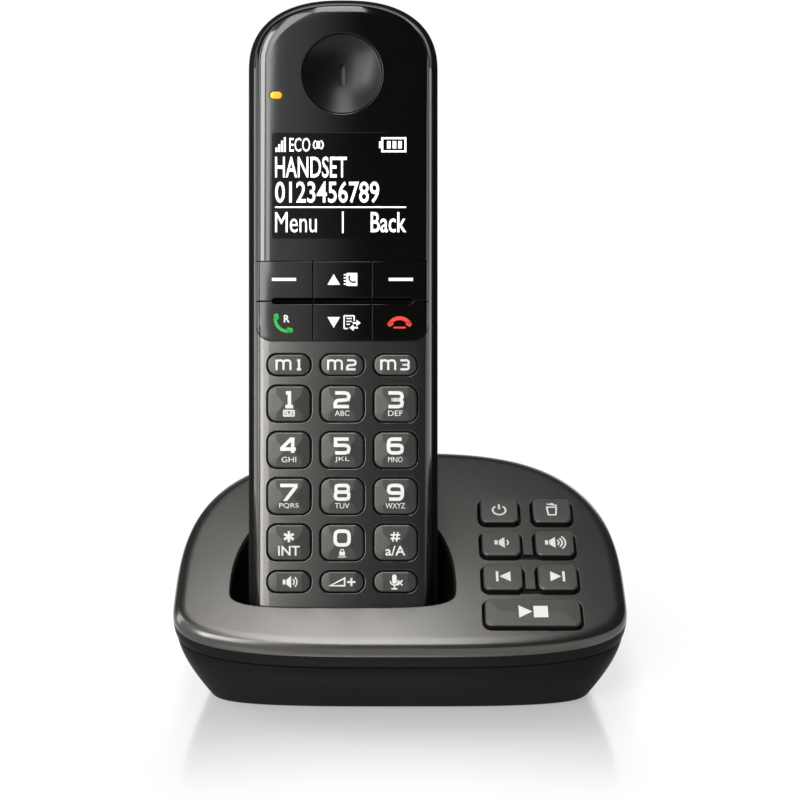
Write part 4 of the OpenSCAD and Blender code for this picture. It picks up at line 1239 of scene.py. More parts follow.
def base_lid():
    """The grey lid with the pocket opening, key openings and rocker slots."""
    rings = []
    for turn in reversed(quarter_turns(LID_STEPS)):
        inset = LID_EDGE * (1 - squared(math.cos(turn), LID_POWER))
        rise = LID_BELLY + (LID_H - LID_BELLY) * squared(math.sin(turn), LID_POWER)
        rings.append((inset, inset, rise))
    for turn in quarter_turns(QUARTER_STEPS, 1):
        inset = LID_BULGE * (1 - math.cos(turn))
        rings.append((inset, inset, LID_BELLY * (1 - math.sin(turn))))
    under = LID_H - BASE_WALL
    shoulder_in, shoulder_up = LID_SHOULDER
    for inset, rise in ((LID_BULGE + BASE_WALL, 0.0), (BASE_WALL + LID_INNER, LID_BELLY),
                        (LID_EDGE * shoulder_in + BASE_WALL, LID_BELLY + (under - LID_BELLY) * shoulder_up),
                        (LID_EDGE + LID_ROOF, under)):
        rings.append((inset, inset, rise))
    form = {**BASE_FORM, "Half Width": BASE_HALF - LID_SIDE_IN, "Low Reach": WIDEST_AT - LID_FRONT_IN}
    lid = housing("base_lid_housing", form, base_turns(), rings, GRAPHITE)
    pocket = loft("pocket", [pocket_on_lid(growth, height)
                             for growth, height in rimmed(LID_H, -PAST, POCKET_EDGE)])
    cuts = [pocket]
    holes = [(column, 3, BASE_KEY_W) for column in (0, 1)]
    holes += [(column, row, BASE_KEY_W) for column in (0, 1) for row in (1, 2)]
    holes.append((0.5, 0, BASE_KEY_W + BASE_PITCH_X))
    for column, row, width in holes:
        gap = 2 * BASE_KEY_GAP
        hole = rounded_box(width + gap, BASE_KEY_L + gap, BASE_KEY_R + BASE_KEY_GAP, base_spot(column, row))
        cuts.append(block(hole, rimmed(LID_H, LID_BELLY, BASE_KEY_RIM)))
    for row in (1, 2):
        cuts.append(straight(bridge_bar(row, BASE_KEY_GAP), LID_H + PAST, LID_BELLY))
    combine(lid, cuts, "DIFFERENCE")
    dark = len(lid.data.materials)
    lid.data.materials.append(POCKET_BLACK)
    lid.data.materials.append(BLACK_SATIN)
    # Faces on the pocket wall take the pocket black; below the band the lid's side takes the black moulding
    # as painted shade under the rolled edge
    for face in lid.data.polygons:
        if face.center.z < LID_H - POCKET_EDGE * POCKET_SHADE and in_pocket(face.center):
            face.material_index = dark
        elif face.center.z < LID_SHADE_BAND:
            face.material_index = dark + 1
    smooth(lid)
    seat(lid, LID, "base", ["base_upper_shell"])


def tucked(side, share):
    """A ring of the bowl at a share of the way down, drawn in more in front than behind."""
    bend_in = share ** TUCK_POWER
    return side + TUCK * bend_in, side + REAR_TUCK * bend_in, 0.0


def base_bowl():
    """The black lower shell with its openings for sound, screws, feet and sockets."""
    rings = []
    shares = []
    for k in range(BOWL_INNER_STEPS + 1):
        share = 1 - k / BOWL_INNER_STEPS
        shares.append((share, FOOT_H + BASE_WALL))
        rings.append(tucked(LID_BULGE + BASE_WALL, share))
    outside = [(EDGE_SHARE * k / BOWL_STEPS, 0.0) for k in range(BOWL_STEPS + 1)]
    for turn in quarter_turns(QUARTER_STEPS, 1):
        share = EDGE_SHARE + (1 - EDGE_SHARE) * math.sin(turn)
        outside.append((share, TUCK_EDGE * (1 - math.cos(turn))))
    for share, edge in outside:
        shares.append((share, FOOT_H))
        rings.append(tucked(LID_BULGE + edge, share))
    turns = base_turns()
    bowl = housing("base_bowl_housing", BASE_FORM, turns, rings, BLACK_SATIN)
    for point in bowl.data.vertices:
        share, low = shares[point.index // len(turns)]
        top = SPLIT_Z + point.co.y * math.sin(SLOPE)
        point.co.z = low + (top - low) * (1 - share)
        point.co.y *= math.cos(SLOPE)
    floor = FOOT_H + BASE_WALL
    cuts = []
    for x, y in FEET:
        cuts.append(straight(disc(FOOT_R + FOOT_GAP, (x, y), 48), FOOT_H + FOOT_SEAT, -PAST))
    for x in (-SCREW_X, SCREW_X):
        cuts.append(straight(disc(SCREW_HOLE_R, (x, SCREW_Y), 32), floor + PAST, -PAST))
    for row in range(-2, 3):
        side = SPEAKER_PITCH * row
        length = 2 * math.sqrt(SPEAKER_REACH ** 2 - side ** 2)
        slot = rounded_box(SPEAKER_SLOT, length, SPEAKER_SLOT / 2, (SPEAKER_X + side, SPEAKER_Y))
        cuts.append(straight(slot, floor + PAST, -PAST))
    for x in (-JACK_X, JACK_X):
        port = rounded_box(JACK_W, JACK_H, JACK_R, (x, JACK_LOW + JACK_H / 2))
        cutter = straight(port, -JACK_CUT[0], -JACK_CUT[1])
        cutter.data.transform(Matrix.Rotation(math.radians(90), 4, "X"))
        cuts.append(cutter)
    combine(bowl, cuts, "DIFFERENCE")
    smooth(bowl)
    seat(bowl, DESK, "base", ["base_lower_shell"])


def pocket_liner():
    """The black cup that the handset stands in, with holes for the charging pins."""
    under = LID_H - BASE_WALL

    def at_lid(growth):
        return [(x, d, pocket_rise(d, under)) for x, d in pocket_outline(growth)]

    def at_floor(growth, level):
        return [(x, d, level) for x, d in pocket_outline(growth)]

    rings = [at_floor(growth, -REST_GAP + level) for growth, level in LINER_FLOOR]
    rings += [at_lid(0.0), at_lid(LINER_T), at_floor(LINER_T, -REST_GAP - LINER_T)]
    liner = dress(loft("pocket_liner", rings), POCKET_BLACK)
    holes = [disc(PIN_HOLE_R, (x, CONTACT_DEPTH), 32) for x in (-CONTACT_X, CONTACT_X)]
    cuts = [straight(hole, PIN_CUT, -PIN_CUT) for hole in holes]
    combine(liner, cuts, "DIFFERENCE")
    smooth(liner)
    seat(liner, UPRIGHT, "base", ["cradle_liner"])


base_lid()
base_bowl()
pocket_liner()


# Printed legends: shapes are points with a level, 1 on top and 0 in the surface, and faces

LEAST_MITRE = 0.4


def stroke(path, width, closed=False):
    """A stroke of even width along a path."""
    count = len(path)
    sides = []
    for k, here in enumerate(path):
        before = path[(k - 1) % count] if closed or k > 0 else None
        after = path[(k + 1) % count] if closed or k < count - 1 else None
        normals = []
        for first, second in ((before, here), (here, after)):
            if first is not None and second is not None:
                across = Vector((first[1] - second[1], second[0] - first[0]))
                normals.append(across.normalized())
        mitre = sum(normals, Vector((0.0, 0.0))).normalized()
        mitre *= width / 2 / max(mitre.dot(normals[0]), LEAST_MITRE)
        sides.append(((here[0] + mitre.x, here[1] + mitre.y), (here[0] - mitre.x, here[1] - mitre.y)))
    points = []
    for left, right in sides:
        points += [(*left, 1), (*right, 1), (*right, 0), (*left, 0)]
    faces = []
    for k in range(count if closed else count - 1):
        a = 4 * k
        b = 4 * ((k + 1) % count)
        for low, high in ((0, 1), (1, 2), (2, 3), (3, 0)):
            faces.append((a + low, a + high, b + high, b + low))
    if not closed:
        end = 4 * (count - 1)
        faces += [(0, 3, 2, 1), (end, end + 1, end + 2, end + 3)]
    return points, faces


def plate(outline):
    """A filled shape."""
    count = len(outline)
    points = [(x, y, 1) for x, y in outline] + [(x, y, 0) for x, y in outline]
    faces = [tuple(range(count)), tuple(reversed(range(count, 2 * count)))]
    for k in range(count):
        beside = (k + 1) % count
        faces.append((k, k + count, beside + count, beside))
    return points, faces


def arc(middle, radius, start, end, steps=16):
    """Points along an arc, angles in degrees."""
    points = []
    for k in range(steps + 1):
        turn = math.radians(start + (end - start) * k / steps)
        points.append((middle[0] + radius * math.cos(turn), middle[1] + radius * math.sin(turn)))
    return points


def rounded_path(corners, closed=False):
    """A path through corners of x, y and radius, with arcs at the corners."""
    count = len(corners)
    path = []
    for k, (x, y, radius) in enumerate(corners):
        here = Vector((x, y))
        inner = closed or 0 < k < count - 1
        if not inner or radius == 0:
            path.append((x, y))
            continue
        back = (Vector(corners[(k - 1) % count][:2]) - here).normalized()
        ahead = (Vector(corners[(k + 1) % count][:2]) - here).normalized()
        for step in range(CORNER_STEPS + 1):
            share = step / CORNER_STEPS
            point = here + back * radius * (1 - share) ** 2 + ahead * radius * share ** 2
            path.append((point.x, point.y))
    return path


def moved(shapes, x=0.0, y=0.0, turn=0.0, size_x=1.0, size_y=1.0):
    """Shapes scaled, turned and moved."""
    cos, sin = math.cos(math.radians(turn)), math.sin(math.radians(turn))
    result = []
    for points, faces in shapes:
        fresh = []
        for a, b, level in points:
            a, b = a * size_x, b * size_y
            fresh.append((x + a * cos - b * sin, y + a * sin + b * cos, level))
        result.append((fresh, faces))
    return result


# Digits as strokes in a box from -1 to 1: corners of x, y and radius
DIGITS = {
    "0": [([(-1, -1, 0.7), (1, -1, 0.7), (1, 1, 0.7), (-1, 1, 0.7)], True)],
    "1": [([(-0.42, 1, 0), (0.08, 1, 0), (0.08, -1, 0)], False), ([(-0.5, -1, 0), (0.6, -1, 0)], False)],
    "2": [([(-1, 1, 0), (1, 1, 0.75), (1, 0, 0.6), (-1, -0.12, 0.6), (-1, -1, 0), (1, -1, 0)], False)],
    "3": [([(-1, 1, 0), (1, 1, 0.7), (1, 0, 0.6), (-0.6, 0, 0)], False),
          ([(-0.6, 0, 0), (1, 0, 0.6), (1, -1, 0.7), (-1, -1, 0)], False)],
    "4": [([(0.55, -1, 0), (0.55, 1, 0), (0.3, 1, 0), (-1, -0.3, 0), (-1, -0.45, 0), (1, -0.45, 0)], False)],
    "5": [([(0.95, 1, 0), (-0.95, 1, 0), (-0.95, 0.1, 0), (1, 0.1, 0.7), (1, -1, 0.7), (-1, -1, 0)], False)],
    "6": [([(0.9, 1, 0), (-1, 1, 0.7), (-1, -1, 0.7), (1, -1, 0.7), (1, 0.1, 0.6), (-1, 0.1, 0)], False)],
    "8": [([(-0.92, 0.04, 0.5), (0.92, 0.04, 0.5), (0.92, 1, 0.5), (-0.92, 1, 0.5)], True),
          ([(-1, -1, 0.6), (1, -1, 0.6), (1, 0.04, 0.6), (-1, 0.04, 0.6)], True)],
    "9": [([(-0.9, -1, 0), (1, -1, 0.7), (1, 1, 0.7), (-1, 1, 0.7), (-1, -0.1, 0.6), (1, -0.1, 0)], False)],
}


def digit(sign, height, width, thick, x=0.0, y=0.0):
    """A digit of a height and width, drawn with strokes."""
    half_x = (width - thick) / 2
    half_y = (height - thick) / 2
    if sign == "7":
        left, right, high = -width / 2, width / 2, height / 2
        knee = high - thick
        shape = [(left, high), (left, knee), (right - 1.25 * thick, knee), (left + 0.8 * thick, -high),
                 (left + 2 * thick, -high), (right, knee - 0.1 * thick), (right, high)]
        return moved([plate(shape)], x, y)
    shapes = []
    for corners, closed in DIGITS[sign]:
        scaled = [(a * half_x, b * half_y, r * min(half_x, half_y)) for a, b, r in corners]
        shapes.append(stroke(rounded_path(scaled, closed), thick, closed))
    return moved(shapes, x, y)


def lettering(words, height, width, bold, x=0.0, y=0.0):
    """Words in the built-in type face, set to a height and a width about their middle."""
    curve = bpy.data.curves.new("letters", "FONT")
    curve.body = words
    curve.offset = bold
    curve.extrude = 0.5
    curve.resolution_u = 3
    text = bpy.data.objects.new("letters", curve)
    scene.collection.objects.link(text)
    graph = bpy.context.evaluated_depsgraph_get()
    mesh = bpy.data.meshes.new_from_object(text.evaluated_get(graph), depsgraph=graph)
    xs = [point.co.x for point in mesh.vertices]
    ys = [point.co.y for point in mesh.vertices]
    size_x = width / (max(xs) - min(xs))
    size_y = height / (max(ys) - min(ys))
    middle_x = (max(xs) + min(xs)) / 2
    middle_y = (max(ys) + min(ys)) / 2
    points = []
    for point in mesh.vertices:
        across = x + (point.co.x - middle_x) * size_x
        points.append((across, y + (point.co.y - middle_y) * size_y, 1 if point.co.z > 0 else 0))
    faces = [tuple(face.vertices) for face in mesh.polygons]
    bpy.data.objects.remove(text)
    bpy.data.curves.remove(curve)
    bpy.data.meshes.remove(mesh)
    return [(points, faces)]


INK_PROUD = 0.035
INK_SUNK = 0.12
INK_STEP = 1.0
INK_HALVINGS = 3


def ink(name, shapes, surface, middle, place, body, material):
    """Prints shapes on a surface, where surface gives the height over the panel."""
    points = []
    faces = []
    for corners, sides in shapes:
        start = len(points)
        points += [(x, y, level * INK_PROUD) for x, y, level in corners]
        faces += [tuple(start + k for k in side) for side in sides]
    piece = made_of(name, points, faces)
    sheet = bmesh.new()
    sheet.from_mesh(piece.data)
    bmesh.ops.remove_doubles(sheet, verts=sheet.verts, dist=WELD)
    bmesh.ops.recalc_face_normals(sheet, faces=sheet.faces)
    bmesh.ops.triangulate(sheet, faces=sheet.faces)
    for halving in range(INK_HALVINGS):
        coarse = [edge for edge in sheet.edges if edge.calc_length() > INK_STEP]
        bmesh.ops.subdivide_edges(sheet, edges=coarse, cuts=1)
        bmesh.ops.triangulate(sheet, faces=sheet.faces)
    for point in sheet.verts:
        x, y, level = point.co
        height = surface(x, y) + (INK_PROUD if level > 0 else -INK_SUNK)
        point.co = (middle[0] + x, middle[1] + y, height)
    sheet.to_mesh(piece.data)
    sheet.free()
    dress(piece, material)
    return seat(piece, place, body)


def on_dome(x, y):
    """Height of a keypad cap over the face, about its own middle."""
    return KEY_PROUD - (x * x + y * y) / (2 * DOME_R)


def on_face(x, y):
    """Height of the flush keys over the face."""
    return 0.0


def on_ink(x, y):
    """Height of other print on the flush keys."""
    return INK_PROUD


def on_base_cap(x, y):
    """Height of a base cap over the lid's parting plane."""
    return LID_H + BASE_KEY_PROUD - (x * x + y * y) / (2 * BASE_KEY_DOME)


# Signs

def triangle(x, y, width, height, turn):
    """A filled triangle that points up before it is turned."""
    shape = plate([(-width / 2, -height / 2), (width / 2, -height / 2), (0.0, height / 2)])
    return moved([shape], x, y, turn)


def box_sign(x, y, width, height):
    """A filled box."""
    left, right = x - width / 2, x + width / 2
    low, high = y - height / 2, y + height / 2
    return [plate([(left, low), (right, low), (right, high), (left, high)])]


def loudspeaker(x, y, size, waves):
    """A loudspeaker sign with a number of waves."""
    shapes = box_sign(-0.62, 0.0, 0.34, 0.62)
    shapes.append(plate([(-0.32, -0.3), (0.3, -0.8), (0.3, 0.8), (-0.32, 0.3)]))
    for k in range(waves):
        shapes.append(stroke(arc((0.2, 0.0), 0.48 + 0.36 * k, -48, 48, 10), 0.17))
    return moved(shapes, x, y, 0.0, size, size)


def receiver(size, turn, handle):
    """A telephone receiver sign, hollow side down before it is turned."""
    shapes = [stroke(arc((0.0, -0.95), 1.25, 148, 32, 18), handle)]
    for side in (-1, 1):
        lobe = [plate(rounded_box(0.6, 0.46, 0.14)(0.0))]
        shapes += moved(lobe, side * 0.97, -0.3, -side * 32)
    return moved(shapes, 0.0, 0.0, turn, size, size)


def asterisk(x, y, size, thick):
    """A star of three strokes."""
    shapes = []
    for turn in (90, 30, 150):
        cos, sin = math.cos(math.radians(turn)) * size, math.sin(math.radians(turn)) * size
        shapes.append(stroke([(x - cos, y - sin), (x + cos, y + sin)], thick))
    return shapes


def hash_sign(x, y, size, thick):
    """Two upright and two level strokes."""
    shapes = []
    for side in (-0.38, 0.38):
        lean = 0.14 * size
        shapes.append(stroke([(x + side * size - lean, y - size), (x + side * size + lean, y + size)], thick))
        shapes.append(stroke([(x - size, y + side * size), (x + size, y + side * size)], thick))
    return shapes


def padlock(x, y):
    """A padlock over a line."""
    shapes = box_sign(0.0, -0.15, 1.9, 1.25)
    shapes.append(stroke([(-0.55, 0.45), *arc((0.0, 0.75), 0.55, 180, 0, 10), (0.55, 0.45)], 0.32))
    shapes += box_sign(0.0, -1.25, 2.7, 0.3)
    return moved(shapes, x, y, 0.0, 0.78, 0.78)


def voicemail(x, y):
    """Two rings on a line, in a frame."""
    case = [(-1.35, -0.7, 0.1), (1.35, -0.7, 0.1), (1.35, 0.7, 0.1), (-1.35, 0.7, 0.1)]
    shapes = [stroke(rounded_path(case, True), 0.36, True)]
    for side in (-0.62, 0.62):
        shapes.append(stroke(arc((side, 0.05), 0.3, 0, 345, 12), 0.26, True))
    shapes.append(stroke([(-0.62, -0.3), (0.62, -0.3)], 0.24))
    return moved(shapes, x, y)


def volume_ramp(x, y):
    """A rising ramp with a plus."""
    ramp = [(-3.1, -0.95, 0), (0.65, -0.95, 0), (0.65, 1.0, 0)]
    shapes = [stroke(rounded_path(ramp, True), 0.42, True)]
    shapes.append(stroke([(1.35, 0.0), (3.45, 0.0)], 0.5))
    shapes.append(stroke([(2.4, -1.05), (2.4, 1.05)], 0.5))
    return moved(shapes, x, y)


def microphone(x, y):
    """A microphone with a cross, for mute."""
    pill = rounded_box(1.15, 2.4, 0.575, (-0.25, 0.75), 6)
    shapes = [plate(pill(0.0))]
    shapes.append(stroke(arc((-0.25, 0.25), 1.05, 180, 360, 12), 0.34))
    shapes.append(stroke([(-0.25, -0.7), (-0.25, -1.75)], 0.34))
    shapes.append(stroke([(-1.05, -1.75), (0.55, -1.75)], 0.36))
    for rise in (-0.65, 0.65):
        shapes.append(stroke([(0.55, -0.2 - rise), (1.85, -0.2 + rise)], 0.38))
    return moved(shapes, x, y)


def power_sign(size):
    """An open ring with a stroke."""
    shapes = [stroke(arc((0.0, 0.0), 1.0, 125, 415, 24), 0.3)]
    shapes.append(stroke([(0.0, 0.2), (0.0, 1.3)], 0.32))
    return moved(shapes, 0.0, -0.1, 0.0, size, size)


def waste_bin(size):
    """A bin with a tilted lid."""
    can = [(-0.75, 0.62, 0), (-0.58, -1.1, 0.1), (0.58, -1.1, 0.1), (0.75, 0.62, 0)]
    shapes = [stroke(rounded_path(can, True), 0.26, True)]
    shapes.append(stroke([(-0.7, 1.32), (0.85, 1.0)], 0.24))
    shapes.append(stroke([(-0.15, 1.45), (0.3, 1.36)], 0.24))
    return moved(shapes, 0.0, 0.0, 0.0, size, size)


def skip_sign(size, side):
    """A bar and a triangle that points to it."""
    shapes = triangle(-0.28 * side, 0.0, 1.9, 1.5, 90 if side < 0 else -90)
    shapes += box_sign(0.82 * side, 0.0, 0.34, 1.9)
    return moved(shapes, 0.0, 0.0, 0.0, size, size)


def address_book(x, y):
    """A filled book with ring tabs."""
    shapes = [plate(rounded_box(2.9, 3.4, 0.25, (0.3, 0.0))(0.0))]
    for k in range(4):
        shapes += box_sign(-1.45, -1.2 + 0.8 * k, 0.7, 0.36)
    return moved(shapes, x, y)


def call_list(x, y):
    """A page with lines and two arrows."""
    page = rounded_path([(-1.9, -1.6, 0.15), (-1.9, 1.7, 0.15), (0.7, 1.7, 0.15), (0.7, 0.4, 0)])
    shapes = [stroke(page, 0.36), stroke([(-1.9, -1.6), (-0.9, -1.6)], 0.36)]
    for k in range(3):
        shapes.append(stroke([(-1.3, 1.0 - 0.75 * k), (0.1 - 0.5 * (k == 2), 1.0 - 0.75 * k)], 0.3))
    shapes.append(stroke([(0.3, -0.15), (1.4, -0.15)], 0.46))
    shapes += triangle(1.85, -0.15, 1.7, 1.15, -90)
    shapes.append(stroke([(0.4, -1.4), (1.7, -1.4)], 0.46))
    shapes += triangle(0.0, -1.4, 1.7, 1.15, 90)
    return moved(shapes, x, y)


# Legends of the keypad

DIGIT_H = 4.45
DIGIT_W = 4.5
DIGIT_THICK = 0.9
DIGIT_UP = 1.05
LETTERS_UP = -2.45
LETTERS_H = 1.4
LETTER_W = 1.26
ZERO_UP = 1.2
LOCK_UP = -2.75
SIGN_UP = 1.55
WORD_UP = -2.1
WORD_H = 2.55
MEMORY_LEG = 1.8
MEMORY_THICK = 0.52
MEMORY_HALF = 1.35
LETTERS = {"2": "ABC", "3": "DEF", "4": "GHI", "5": "JKL", "6": "MNO", "7": "PQRS", "8": "TUV", "9": "WXYZ"}


def memory_sign(number):
    """The letter m and a small digit."""
    narrow = number == "1"
    start = -3.2 if narrow else -3.65
    legs = [start + MEMORY_LEG * k for k in range(3)]
    shapes = [stroke([(legs[0], -MEMORY_HALF), (legs[0], MEMORY_HALF)], MEMORY_THICK)]
    for left, right in zip(legs, legs[1:]):
        hump = [(left, 0.4, 0), (left, 1.15, 0.8), (right, 1.15, 0.8), (right, -MEMORY_HALF, 0)]
        shapes.append(stroke(rounded_path(hump), MEMORY_THICK))
    width, reach = (2.5, 2.55) if narrow else (2.75, 2.4)
    return shapes + digit(number, 2.9, width, 0.56, reach, 0.0)


def keypad_signs(name):
    """The shapes printed on a key of the keypad."""
    if name.startswith("m") and len(name) == 2:
        return memory_sign(name[1])
    if name == "digit_1":
        return digit("1", DIGIT_H, DIGIT_W, DIGIT_THICK, 0.0, DIGIT_UP) + voicemail(0.0, LETTERS_UP)
    if name == "digit_0":
        return digit("0", DIGIT_H, DIGIT_W, DIGIT_THICK, 0.0, ZERO_UP) + padlock(0.0, LOCK_UP)
    if name.startswith("digit_"):
        number = name[-1]
        words = LETTERS[number]
        return digit(number, DIGIT_H, DIGIT_W, DIGIT_THICK, 0.0, DIGIT_UP) + lettering(
            words, LETTERS_H, LETTER_W * len(words), 0.0, 0.0, LETTERS_UP)
    if name == "star":
        return asterisk(0.0, SIGN_UP, 1.42, 0.62) + lettering("INT", WORD_H, 5.6, 0.015, 0.0, WORD_UP)
    if name == "hash":
        return hash_sign(0.0, SIGN_UP, 1.25, 0.4) + lettering("a/A", WORD_H, 5.2, 0.012, 0.0, WORD_UP)
    if name == "handsfree":
        return loudspeaker(0.0, 0.0, 2.0, 2)
    if name == "boost":
        return volume_ramp(0.0, 0.0)
    return microphone(0.0, 0.0)


def keypad_legends():
    """Legends of the keypad, each on its own key."""
    for name, middle, height in keypad():
        shapes = keypad_signs(name)
        ink(name + "_legend", shapes, on_dome, middle, FACE, name + "_key", PALE_INK)


SOFT_HALF = 3.15
SOFT_THICK = 0.8
ARROW_X = -2.2
ARROW_W = 3.3
ARROW_H = 2.8


def flush_legends():
    """Legends of the six flush keys."""
    upper = NAV_LOW + 1.5 * NAV_H + 0.45
    lower = NAV_LOW + 0.5 * NAV_H - 0.35
    dash = [stroke([(-SOFT_HALF, 0.0), (SOFT_HALF, 0.0)], SOFT_THICK)]
    arrows = [triangle(ARROW_X, 0.0, ARROW_W, ARROW_H, turn) for turn in (0, 180)]
    hang_up = moved(receiver(2.45, 0.0, 0.4), 0.0, 0.35) + box_sign(0.0, -1.35, 3.2, 0.45)
    signs = [
        ("left_soft", (-15.1, upper), dash, WHITE_INK),
        ("right_soft", (15.2, upper), dash, WHITE_INK),
        ("up", (0.0, upper), arrows[0] + address_book(2.2, 0.0), WHITE_INK),
        ("down", (0.0, lower), arrows[1] + call_list(2.4, 0.0), WHITE_INK),
        ("talk", (-15.9, lower - 0.8), receiver(2.55, 135.0, 0.32), GREEN_INK),
        ("end", (14.9, lower), hang_up, RED_INK)]
    for name, middle, shapes, colour in signs:
        ink(name + "_legend", shapes, on_face, middle, FACE, name + "_key", colour)
    small = lettering("R", 1.9, 1.5, 0.02)
    ink("recall_legend", small, on_face, (-14.4, lower + 0.95), FACE, "talk_key",
        WHITE_INK)
    ink("book_legend", receiver(1.0, 135.0, 0.4), on_ink, (2.35, upper - 0.2), FACE, "up_key",
        DARK_INK)


def base_legends():
    """Legends of the base keys."""
    play = triangle(-1.95, 0.0, 4.3, 3.4, -90) + box_sign(2.0, 0.0, 3.7, 3.9)
    signs = [
        ("power", "power_key", (0, 3), power_sign(1.75)), ("delete", "delete_key", (1, 3), waste_bin(1.75)),
        ("quieter", "volume_rocker", (0, 2), loudspeaker(0.2, 0.0, 2.5, 1)),
        ("louder", "volume_rocker", (1, 2), loudspeaker(-0.6, 0.0, 2.5, 3)),
        ("back", "skip_rocker", (0, 1), skip_sign(1.9, -1)),
        ("next", "skip_rocker", (1, 1), skip_sign(1.9, 1)),
        ("play", "play_key", (0.5, 0), play)]
    for name, body, spot, shapes in signs:
        ink(name + "_legend", shapes, on_base_cap, base_spot(*spot), LID, body, PALE_INK)


keypad_legends()
flush_legends()
base_legends()


# Display

LCD_LEFT = -17.4
LCD_RIGHT = 16.6
STATUS_ROW = 130.1
NAME_ROW = 124.3
NUMBER_ROW = 117.8
RULE_ROW = 113.9
SOFT_ROW = 110.0
PANE_R = 0.8
PIXEL_LEVEL = 0.02
BARS_LOW = 1.85
BAR_W = 0.5
BAR_PITCH = 0.72
ECO_X = -6.2
ECO_R = 1.25
CELL_LEFT = 10.4
CELL_HALF = 1.7
CELL_BAR = 12.1
CELL_PITCH = 1.45

# Levels of the pane: growth and height
PANE = [(-0.06, PIXEL_LEVEL), (0.0, -0.02), (0.0, -0.3)]


def words_from(words, left, right, height, row, bold):
    """Words that fill the room between two sides of the display."""
    return lettering(words, height, right - left, bold, (left + right) / 2, row)


def on_pane(x, y):
    """Height of the display's pane over the face."""
    return PIXEL_LEVEL


def display():
    """The dark glass of the display and what it shows."""
    glass = rounded_box(LCD_W, LCD_H, PANE_R, (0.0, LCD_Y))
    pane = dress(block(glass, PANE), GLASS_BLACK)
    pane.name = "display_pane"
    seat(pane, FACE, "handset")
    shapes = []
    for k in range(4):
        height = 1.1 + 0.9 * k
        side = LCD_LEFT + 0.35 + BAR_PITCH * k
        shapes += box_sign(side, STATUS_ROW - BARS_LOW + height / 2, BAR_W, height)
    shapes += words_from("ECO", -13.7, -8.3, 3.6, STATUS_ROW, 0.004)
    for start in (-60, 120):
        shapes.append(stroke(arc((ECO_X, STATUS_ROW), ECO_R, start, start + 120, 10), 0.36))
    shapes += box_sign(ECO_X, STATUS_ROW, 0.9, 1.9)
    right = LCD_RIGHT - 0.2
    low, high = STATUS_ROW - CELL_HALF, STATUS_ROW + CELL_HALF
    case = [(CELL_LEFT, low), (right, low), (right, high), (CELL_LEFT, high)]
    shapes.append(stroke(case, 0.5, True))
    shapes += box_sign(9.85, STATUS_ROW, 0.6, 1.7)
    for k in range(3):
        shapes += box_sign(CELL_BAR + CELL_PITCH * k, STATUS_ROW, 0.95, 1.9)
    shapes += words_from("HANDSET", LCD_LEFT, 1.2, 5.5, NAME_ROW, 0.01)
    shapes += words_from("0123456789", LCD_LEFT, 9.6, 5.6, NUMBER_ROW, 0.012)
    shapes += box_sign((LCD_LEFT + LCD_RIGHT) / 2, RULE_ROW, LCD_RIGHT - LCD_LEFT, 0.36)
    shapes += words_from("Menu", LCD_LEFT, -6.6, 5.3, SOFT_ROW, 0.0)
    shapes += words_from("Back", 7.4, LCD_RIGHT, 5.3, SOFT_ROW, 0.01)
    shapes += box_sign(0.15, SOFT_ROW, 0.42, 5.6)
    ink("display_pixels", shapes, on_pane, (0.0, 0.0), FACE, "handset", LCD_WHITE)


display()


# Finishes of the pieces whose CAD shape is right

def paint_nodes():
    """Gives each shown CAD node its finish."""
    finishes = {
        STEEL: ["microphone", "ringer", "handset_screws", "battery_contacts",
                "base_loudspeaker", "base_screws"],
        GLASS_BLACK: ["display_module"],
        RUBBER: ["handset_keymat", "base_keymat"],
        BOARD: ["handset_board", "key_board", "main_board"],
        CELL_WRAP: ["battery_cells"],
        GOLD: ["handset_contacts", "left_pin", "right_pin"],
        SOCKET: ["earpiece_receiver", "contact_block", "line_socket", "power_socket"],
        FOOT_RUBBER: ["rubber_feet"]}
    for material, nodes in finishes.items():
        for node in nodes:
            slots = frame["nodes"][node].material_slots
            for holder in slots:
                holder.link = "OBJECT"
                holder.material = material
    cover = softened("battery_cover_panel", "battery_cover", COVER_EDGE, BLACK_SATIN)
    seat(cover, Matrix.Identity(4), "battery_cover", ["battery_cover"])


paint_nodes()


# Studio

CAMERA_BACK = 408.24
CAMERA_HIGH = 247.55
CAMERA_DOWN = 21.0
LENS = 81.6

# Lamps: name, place and target in metres, width, height and brightness
AIM = (0.0, 0.0, 0.06)
LAMPS = [
    ("overhead", (-0.05, -0.115, 0.78), (-0.05, -0.115, 0.0), 0.2, 0.82, 8.0),
    ("left_strip", (-0.62, 0.05, 0.3), AIM, 0.16, 0.8, 6.0),
    ("front_strip", (-0.47, -0.98, 0.7), AIM, 0.24, 1.1, 7.0),
    ("edge_strip", (-0.72, -0.85, 0.55), AIM, 0.18, 0.9, 14.0),
    ("rear_strip", (0.45, 0.95, 0.3), AIM, 0.3, 0.5, 2.5)]

# Floor and room: spans over which each effect fades, in metres or slopes, and levels
FLOOR_R = 40.0
FLOOR_SEEN = (0.7, 1.0)
FLOOR_NEAR = (0.05, 0.09)
MIRROR_FADE = (-0.082, -0.036)
MIRROR_BACK = (-0.01, 0.03)
MIRROR_SIDE = (0.054, 0.066)
MIRROR = 0.42
SHEEN = (-0.06, 0.26)
BACKDROP = (0.3, 0.6)
BACKDROP_TOP = (0.56, 0.68)
BEHIND = (-0.05, 0.15)
ROOM_DARK = 0.01
BACKDROP_SIDE_LEVEL = 0.05
BACKDROP_TOP_LEVEL = 0.04
LEAST_DEPTH = 0.05
FLOOR_TONE = 0.95
FLOOR_ROUGH = 0.16


def eased(tree, value, start, end, low, high):
    """A value eased from low to high between a start and an end."""
    node = tree.nodes.new("ShaderNodeMapRange")
    node.interpolation_type = "SMOOTHSTEP"
    for socket, number in zip(node.inputs, (value, start, end, low, high)):
        feed(tree, socket, number)
    return node.outputs[0]


